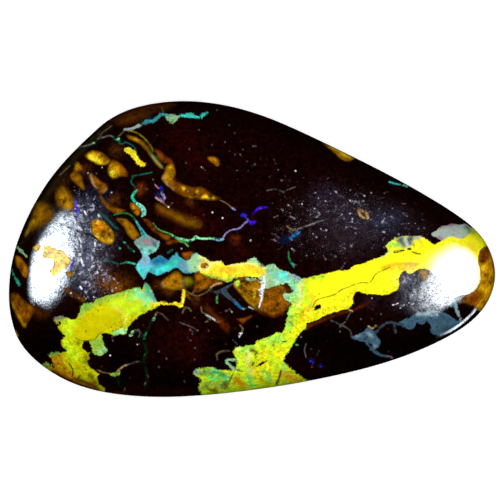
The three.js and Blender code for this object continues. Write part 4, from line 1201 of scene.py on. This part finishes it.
def stoneMaterial():
    look = stoneLook
    material = bpy.data.materials.new("opal ironstone")
    material.use_nodes = True
    tree = material.node_tree
    tree.nodes.clear()
    place = addNode(tree, "ShaderNodeTexCoord").outputs["Object"]

    def attribute(name, output="Fac"):
        return addNode(tree, "ShaderNodeAttribute", attribute_name=name).outputs[output]

    def times(first, second):
        return calc(tree, "MULTIPLY", first, second)

    def timesPlus(first, second, third):
        return calc(tree, "MULTIPLY_ADD", first, second, third)

    def minus(first, second):
        return calc(tree, "SUBTRACT", first, second)

    # Noise with features about 1 / scale pixels wide, spread round zero
    def noise(scale, detail=2.0, roughness=0.5, vector=place, distortion=0.0):
        made = addNode(tree, "ShaderNodeTexNoise", {
            "Vector": vector, "Scale": scale * perPixel, "Detail": detail, "Roughness": roughness,
            "Distortion": distortion})
        return minus(made.outputs["Fac"], 0.5)

    def ramp(value, low, high, outLow=0.0, outHigh=1.0):
        return addNode(tree, "ShaderNodeMapRange", {
            "Value": value, "From Min": low, "From Max": high, "To Min": outLow, "To Max": outHigh},
            interpolation_type="SMOOTHSTEP").outputs[0]

    def mask(field, softness):
        return ramp(field, softness, -softness)

    # From the first colour to the second, each a tone's name or a colour of the tree
    def mix(share, first, second):
        made = addNode(tree, "ShaderNodeMix", {0: share}, data_type="RGBA")
        for index, value in ((6, first), (7, second)):
            setInput(tree, made.inputs[index], (*linearTone(value), 1) if isinstance(value, str) else value)
        return made.outputs[2]

    def blend(share, first, second):
        return calc(tree, "ADD", times(minus(second, first), share), first)

    def scaled(colour, share):
        return vectorCalc(tree, "SCALE", {0: colour, 3: share})

    # One plus the given shares of the given noises, never below the least
    def gain(least, *parts):
        total = 1.0
        for source, share in parts:
            total = timesPlus(source, share, total)
        return calc(tree, "MAXIMUM", total, least)

    ragged = noise(0.2, 5.0, 0.7)
    grain = noise(0.62, 2.0, 0.7)
    fineGrain = noise(1.15, 1.0)
    mottle = noise(0.11, 3.0, 0.6)
    drift = noise(0.075, 2.0)

    # Ironstone: near-black, mottled, with fine grains
    ironGain = gain(look["darkest"], *zip((ragged, grain, fineGrain), look["ironContrast"]))
    ironColour = scaled(attribute("ironTone", "Vector"), ironGain)

    # Clay: grainy, with ragged edges and darker along them
    clayEdge = timesPlus(grain, 1.4, timesPlus(ragged, 3.6, attribute("clayEdge")))
    clayMask = mask(clayEdge, look["clayEdge"])
    clayGain = gain(look["darkest"], *zip((mottle, ragged, grain), look["clayContrast"]))
    clayGain = times(clayGain, ramp(clayEdge, -2.2, 0.2, 1.0, 0.4))
    clayColour = scaled(attribute("clayTone", "Vector"), clayGain)

    # Precious opal: cells of slightly different hue with darker seams, smooth where the zones ask for it
    wobble = addNode(tree, "ShaderNodeTexNoise", {
        "Vector": place, "Scale": 0.22 * perPixel, "Detail": 3.0}).outputs["Color"]
    bent = vectorCalc(tree, "MULTIPLY_ADD", {0: wobble, 1: (look["cellBend"] / perPixel,) * 3, 2: place})
    cells = addNode(tree, "ShaderNodeTexVoronoi", {"Vector": bent, "Scale": look["cellSize"] * perPixel},
                    feature="SMOOTH_F1")
    cells.inputs["Smoothness"].default_value = look["cellSmoothness"]
    cellDice = addNode(tree, "ShaderNodeSeparateColor", {"Color": cells.outputs["Color"]})
    grainy = attribute("opalGrain")
    opalEdge = timesPlus(ragged, blend(grainy, 2.0, 7.0), attribute("opalEdge"))
    opalEdge = timesPlus(grain, blend(grainy, 0.8, 3.4), opalEdge)
    opalMask = mask(opalEdge, look["opalEdge"])
    cellGain = timesPlus(minus(cellDice.outputs[0], 0.5), look["cellContrast"], 1.0)
    cellGain = times(cellGain, gain(0.25, (grain, 0.9), (ragged, 1.6)))
    opalGain = times(blend(grainy, look["smoothGain"], cellGain), gain(0.5, (mottle, 0.5), (grain, 0.2)))
    hue = times(minus(cellDice.outputs[1], 0.5), look["hueSpread"])
    hue = timesPlus(hue, grainy, timesPlus(drift, 0.02, 0.5))
    opalColour = addNode(tree, "ShaderNodeHueSaturation", {
        "Hue": hue, "Saturation": 1.0, "Color": attribute("opalTone", "Vector")}).outputs[0]
    opalColour = scaled(opalColour, opalGain)
    lip = times(ramp(opalEdge, -2.4, -0.9), ramp(drift, -0.05, 0.12, 0.0, 0.4))
    opalColour = mix(lip, opalColour, scaled(opalColour, 1.3))
    seams = calc(tree, "ABSOLUTE", noise(0.17, 3.0, 0.65))
    seams = times(ramp(seams, 0.022, 0.004, 0.0, 0.55), ramp(mottle, 0.0, 0.12))
    opalColour = scaled(opalColour, minus(1.0, times(seams, grainy)))

    # Painted shade along the steep rim: the markings grow dim and the ironstone turns a flat dark tone there
    outOfRimShade = ramp(timesPlus(ragged, 2.5, attribute("rimGap")), *look["rimShadeLine"])
    clayMask = times(clayMask, timesPlus(outOfRimShade, 1 - look["clayInRimShade"], look["clayInRimShade"]))
    opalMask = times(opalMask, timesPlus(outOfRimShade, 1 - look["opalInRimShade"], look["opalInRimShade"]))
    colour = mix(outOfRimShade, "rimShadeIron", ironColour)
    # Pale specks where the pits crowd by the lamps' reflections: painted glints
    crowd = attribute("pitShare")
    glintSpecks = times(ramp(fineGrain, 0.13, 0.24), ramp(crowd, 0.07, 0.36, 0.0, look["glintSpecks"]))
    colour = mix(times(glintSpecks, ramp(mottle, -0.12, 0.1)), colour, "glintLilac")
    colour = mix(clayMask, colour, clayColour)
    colour = mix(opalMask, colour, opalColour)

    def distanceTo(kind):
        length = vectorCalc(tree, "LENGTH", {0: attribute(kind + "Offset", "Vector")}, "Value")
        guard = minus(attribute(kind + "Distance"), 1.0)
        return minus(calc(tree, "MAXIMUM", length, guard), attribute(kind + "Width"))

    # Pits: pale lilac where they crowd by the lamps' reflections, a painted glint, and red-brown elsewhere
    # in the ironstone; darker than the stone round them in clay and opal
    pitMask = times(mask(distanceTo("pit"), 0.5), outOfRimShade)
    pitLight = timesPlus(calc(tree, "POWER", attribute("pitLight"), 2.4), 1.2, 0.1)
    pitColour = scaled(mix(ramp(crowd, 0.04, 0.25), "redBrown", "glintLilac"), pitLight)
    pitColour = mix(calc(tree, "MAXIMUM", opalMask, clayMask), pitColour, scaled(colour, look["pitInside"]))
    colour = mix(times(pitMask, 0.85), colour, pitColour)

    # Fine lines, broken up by the ragged noise
    fineMask = mask(timesPlus(ragged, 2.6, distanceTo("fine")), 0.5)
    fineMask = times(fineMask, times(outOfRimShade, ramp(ragged, -0.12, 0.02, 0.1, 1.0)))
    fineColour = scaled(attribute("fineTone", "Vector"), gain(0.25, (mottle, 2.0), (grain, 3.0)))
    colour = mix(fineMask, colour, fineColour)

    # Underside: sawn and ground ironstone, banded, with streaks of limonite
    bands = noise(0.05, 5.0, 0.6, vectorCalc(tree, "MULTIPLY", {0: place, 1: (0.3, 1.0, 1.0)}), 1.2)
    backColour = mix(ramp(bands, -0.12, 0.1), scaled(tuple(linearTone("umber")), 0.35), "umber")
    backColour = mix(ramp(bands, 0.1, 0.17, 0.0, 0.8), backColour, "ochre")
    backColour = scaled(backColour, gain(0.3, (grain, 2.2), (mottle, 1.5)))
    under = attribute("underside")
    colour = mix(under, colour, backColour)

    roughness = blend(clayMask, timesPlus(grain, 0.5, look["ironRoughness"]), look["clayRoughness"])
    roughness = blend(opalMask, roughness, look["opalRoughness"])
    roughness = blend(under, roughness, look["backRoughness"])
    polish = minus(gain(0.56, (grain, 4.5), (fineGrain, 4.0), (mottle, 2.6)), 0.32)
    polish = calc(tree, "MINIMUM", polish, 1.0)
    polish = times(polish, ramp(clayMask, 0.0, 1.0, 1.0, look["clayPolish"]))
    polish = blend(opalMask, polish, look["opalPolish"])
    polish = times(polish, ramp(fineMask, 0.0, 1.0, 1.0, look["finePolish"]))
    polish = blend(under, polish, look["backPolish"])
    bump = addNode(tree, "ShaderNodeBump", {
        "Height": noise(0.5, 2.0), "Strength": look["bump"],
        "Distance": look["bumpDepth"] * millimetre}).outputs[0]
    shader = addNode(tree, "ShaderNodeBsdfPrincipled", {
        "Base Color": colour, "Roughness": roughness, "Normal": bump, "IOR": look["refraction"],
        "Specular IOR Level": 0.0,      # the coat alone mirrors
        "Coat Weight": polish, "Coat Roughness": look["coatRoughness"], "Coat IOR": look["refraction"],
        "Coat Normal": bump})
    addNode(tree, "ShaderNodeOutputMaterial", {"Surface": shader.outputs[0]})
    return material


print("Scattering the pits")
stone = pittedStone(stoneMaterial())
print("materials", [material.name for material in stone.data.materials])
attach(stone, "root")
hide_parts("stone")

print("Setting the floor, the lamps and the camera")
studio = {
    "floorSize": 1.2,             # m
    "floorGap": 0.00002,          # keeps the floor clear of the flat back
    "paper": 0.92,
    "paperRoughness": 0.9,
    "paperGloss": 0.1,
    "paperGlow": 0.35,
    "fillSize": 0.30,
    "fillHeight": 0.22,
    "fillPower": 1.0,             # brightness of white paper on the floor
    "ambient": 0.12,
    "lampDistance": 0.14,
    "stripSpan": (0.6, 3.0),      # part of a half wave that a strip's brightness follows along it
}


# A flat object with a material of its own, for the floor and the lamps
def addPanel(name, corners, panelFaces):
    mesh = bpy.data.meshes.new(name)
    mesh.from_pydata([tuple(corner) for corner in corners], [], panelFaces)
    material = bpy.data.materials.new(name)
    material.use_nodes = True
    mesh.materials.append(material)
    made = addObject(name, mesh)
    made.visible_diffuse = False
    return made, material.node_tree


half = studio["floorSize"] / 2
level = -studio["floorGap"]
floor, floorTree = addPanel("floor", [(-half, -half, level), (half, -half, level), (half, half, level),
                                      (-half, half, level)], [(0, 1, 2, 3)])
for name, value in {"Base Color": (*(studio["paper"],) * 3, 1), "Roughness": studio["paperRoughness"],
                    "Specular IOR Level": studio["paperGloss"], "Emission Color": (1, 1, 1, 1),
                    "Emission Strength": studio["paperGlow"]}.items():
    floorTree.nodes["Principled BSDF"].inputs[name].default_value = value
floor.visible_glossy = False

# Soft overhead light that isn't mirrored in the polish. A square lamp of radiance L and side s, h above the
# floor, lights the spot under it with L times its form factor; its power follows from that.
fill = bpy.data.lights.new("softbox", "AREA")
fill.shape = "SQUARE"
fill.size = studio["fillSize"]
halfSide = studio["fillSize"] / 2 / studio["fillHeight"]
slant = math.sqrt(1 + halfSide ** 2)
formFactor = 4 * halfSide / slant * math.atan(halfSide / slant) / math.pi
fill.energy = studio["fillPower"] / formFactor * math.pi * studio["fillSize"] ** 2
fillObject = addObject("softbox", fill)
fillObject.location = (0, 0, studio["fillHeight"])
fillObject.visible_glossy = False

# The lamps that the polish mirrors: brightness, colour, share of the lamps' distance, fullness, heart and
# outline. Each is laid out by the outline of its reflection in the picture, sent out from the dome. Fullness
# is how soon it reaches full brightness from its outline towards its heart: 1 is a cone, more is a flatter
# card with a narrower edge. The heart and the outline are places in the picture.
lampReflections = {
    "leftWindow": (170.0, (0.76, 0.87, 1.0), 1.0, 1.0, (46, 269), [(29, 264), (32, 250), (39, 236),
        (46, 224), (56, 211), (69, 201), (83, 204), (88, 218), (88, 234), (85, 250), (80, 264), (76, 277),
        (69, 291), (60, 302), (50, 310), (41, 311), (32, 306), (27, 294), (27, 278)]),
    "rightWindow": (105.0, (0.84, 0.91, 1.0), 1.0, 1.05, (458, 276), [(426, 254), (437, 245), (452, 242),
        (467, 245), (476, 253), (481, 264), (482, 276), (480, 288), (474, 297), (465, 302), (450, 306),
        (439, 315), (422, 320), (405, 313), (401, 297), (408, 280), (419, 266)]),
    "leftHaze": (4.8, (0.62, 0.7, 1.0), 1.3, 1.0, (84, 256), [(40, 215), (60, 196), (85, 192), (106, 204),
        (119, 232), (116, 262), (105, 286), (86, 296), (64, 299), (42, 299), (31, 275), (32, 240)]),
    "rightHaze": (12.0, (0.82, 0.8, 1.0), 1.3, 1.0, (424, 292), [(386, 272), (402, 256), (425, 250),
        (450, 260), (455, 290), (442, 314), (420, 318), (396, 308)]),
    "middleHaze": (0.26, (0.78, 0.72, 1.0), 1.6, 1.3, (350, 218), [(280, 210), (320, 182), (375, 184),
        (425, 208), (440, 240), (400, 258), (350, 268), (300, 266), (276, 240)]),
}
# Narrow ones: brightness, colour, half width and the line they follow
lampStrips = {
    "rightEdge": (12.0, (0.8, 0.88, 1.0), 1.2, [(480.5, 301.5), (476, 308), (470, 315.5), (464, 321),
        (457, 326.5), (448, 332), (439, 336)]),
}


def domeHeight(x, y, rimDistance):
    share = math.hypot(x - summit[0], y - summit[1]) / rimDistance(math.atan2(y - summit[1], x - summit[0]))
    fullness = stoneForm["domeFullness"]
    return stoneForm["girdleTop"] + domeRise * max(1 - share ** fullness, 0) ** (1 / fullness)


def addLamps():
    curve = rimFromFrame()
    turn = np.arctan2(*(curve - summit).T[::-1])
    distance = np.hypot(*(curve - summit).T)
    eye = np.array([cameraX, cameraY, stoneForm["girdleTop"] + cameraDistance])

    def rimDistance(angle):
        return np.interp(angle, turn, distance, period=2 * math.pi)

    # Where a lamp has to be for its reflection to show at a place in the picture
    def lampCorner(px, py, lampDistance):
        flat = np.array([(px - photoView["centre"][0]) * pixel, (photoView["centre"][1] - py) * pixel])
        x, y = flat + eye[:2]
        for _ in range(4):
            height = domeHeight(x, y, rimDistance)
            x, y = eye[:2] + flat * (eye[2] - height) / cameraDistance
        nudge = 0.01
        normal = np.array([domeHeight(x - nudge, y, rimDistance) - domeHeight(x + nudge, y, rimDistance),
                           domeHeight(x, y - nudge, rimDistance) - domeHeight(x, y + nudge, rimDistance),
                           2 * nudge])
        normal /= np.linalg.norm(normal)
        sight = np.array([x, y, height]) - eye
        sight /= np.linalg.norm(sight)
        away = sight - 2 * (sight @ normal) * normal
        return np.array([x, y, height]) * millimetre + away * lampDistance

    def addCard(name, brightness, colour, corners, cardFaces, glows, fullness):
        lamp, tree = addPanel(name, corners, cardFaces)
        lamp.data.attributes.new("glow", "FLOAT", "POINT").data.foreach_set("value", glows)
        tree.nodes.clear()
        share = addNode(tree, "ShaderNodeAttribute", attribute_name="glow").outputs["Fac"]
        strength = addNode(tree, "ShaderNodeMapRange", {
            "Value": share, "From Max": 1 / fullness, "To Max": brightness},
            interpolation_type="SMOOTHSTEP").outputs[0]
        glow = addNode(tree, "ShaderNodeEmission", {"Color": (*colour, 1), "Strength": strength})
        addNode(tree, "ShaderNodeOutputMaterial", {"Surface": glow.outputs[0]})
        lamp.visible_camera = False
        lamp.visible_shadow = False

    for name, (brightness, colour, farness, fullness, heart, outline) in lampReflections.items():
        corners = [lampCorner(*place, studio["lampDistance"] * farness) for place in (*outline, heart)]
        count = len(outline)
        addCard(name, brightness, colour, corners,
                [(k, (k + 1) % count, count) for k in range(count)], [0.0] * count + [1.0], fullness)
    for name, (brightness, colour, halfWidth, line) in lampStrips.items():
        line = np.array(line, float)
        along = np.gradient(line, axis=0)
        across = np.stack([-along[:, 1], along[:, 0]], 1) / np.hypot(*along.T)[:, None] * halfWidth
        corners = [lampCorner(*place, studio["lampDistance"]) for edge in (line + across, line - across)
                   for place in edge]
        count = len(line)
        glows = np.tile(np.sin(np.linspace(*studio["stripSpan"], count)), 2)
        addCard(name, brightness, colour, corners,
                [(k, k + 1, count + k + 1, count + k) for k in range(count - 1)], glows.tolist(), 1.0)


addLamps()

world = bpy.data.worlds.new("studio")
world.use_nodes = True
background = world.node_tree.nodes["Background"]
background.inputs["Color"].default_value = (1, 1, 1, 1)
toCamera = addNode(world.node_tree, "ShaderNodeLightPath").outputs["Is Camera Ray"]
brightness = calc(world.node_tree, "MULTIPLY_ADD", toCamera, 1 - studio["ambient"], studio["ambient"])
world.node_tree.links.new(brightness, background.inputs["Strength"])
world.cycles_visibility.glossy = False
bpy.context.scene.world = world
bpy.context.scene.view_settings.view_transform = "Standard"

camera = bpy.data.cameras.new("camera")
camera.lens = photoView["lens"]
camera.sensor_width = photoView["sensor"]
camera.clip_start, camera.clip_end = photoView["sees"]
cameraObject = addObject("camera", camera)
cameraObject.location = (cameraX * millimetre, cameraY * millimetre,
                         (stoneForm["girdleTop"] + cameraDistance) * millimetre)
bpy.context.scene.camera = cameraObject
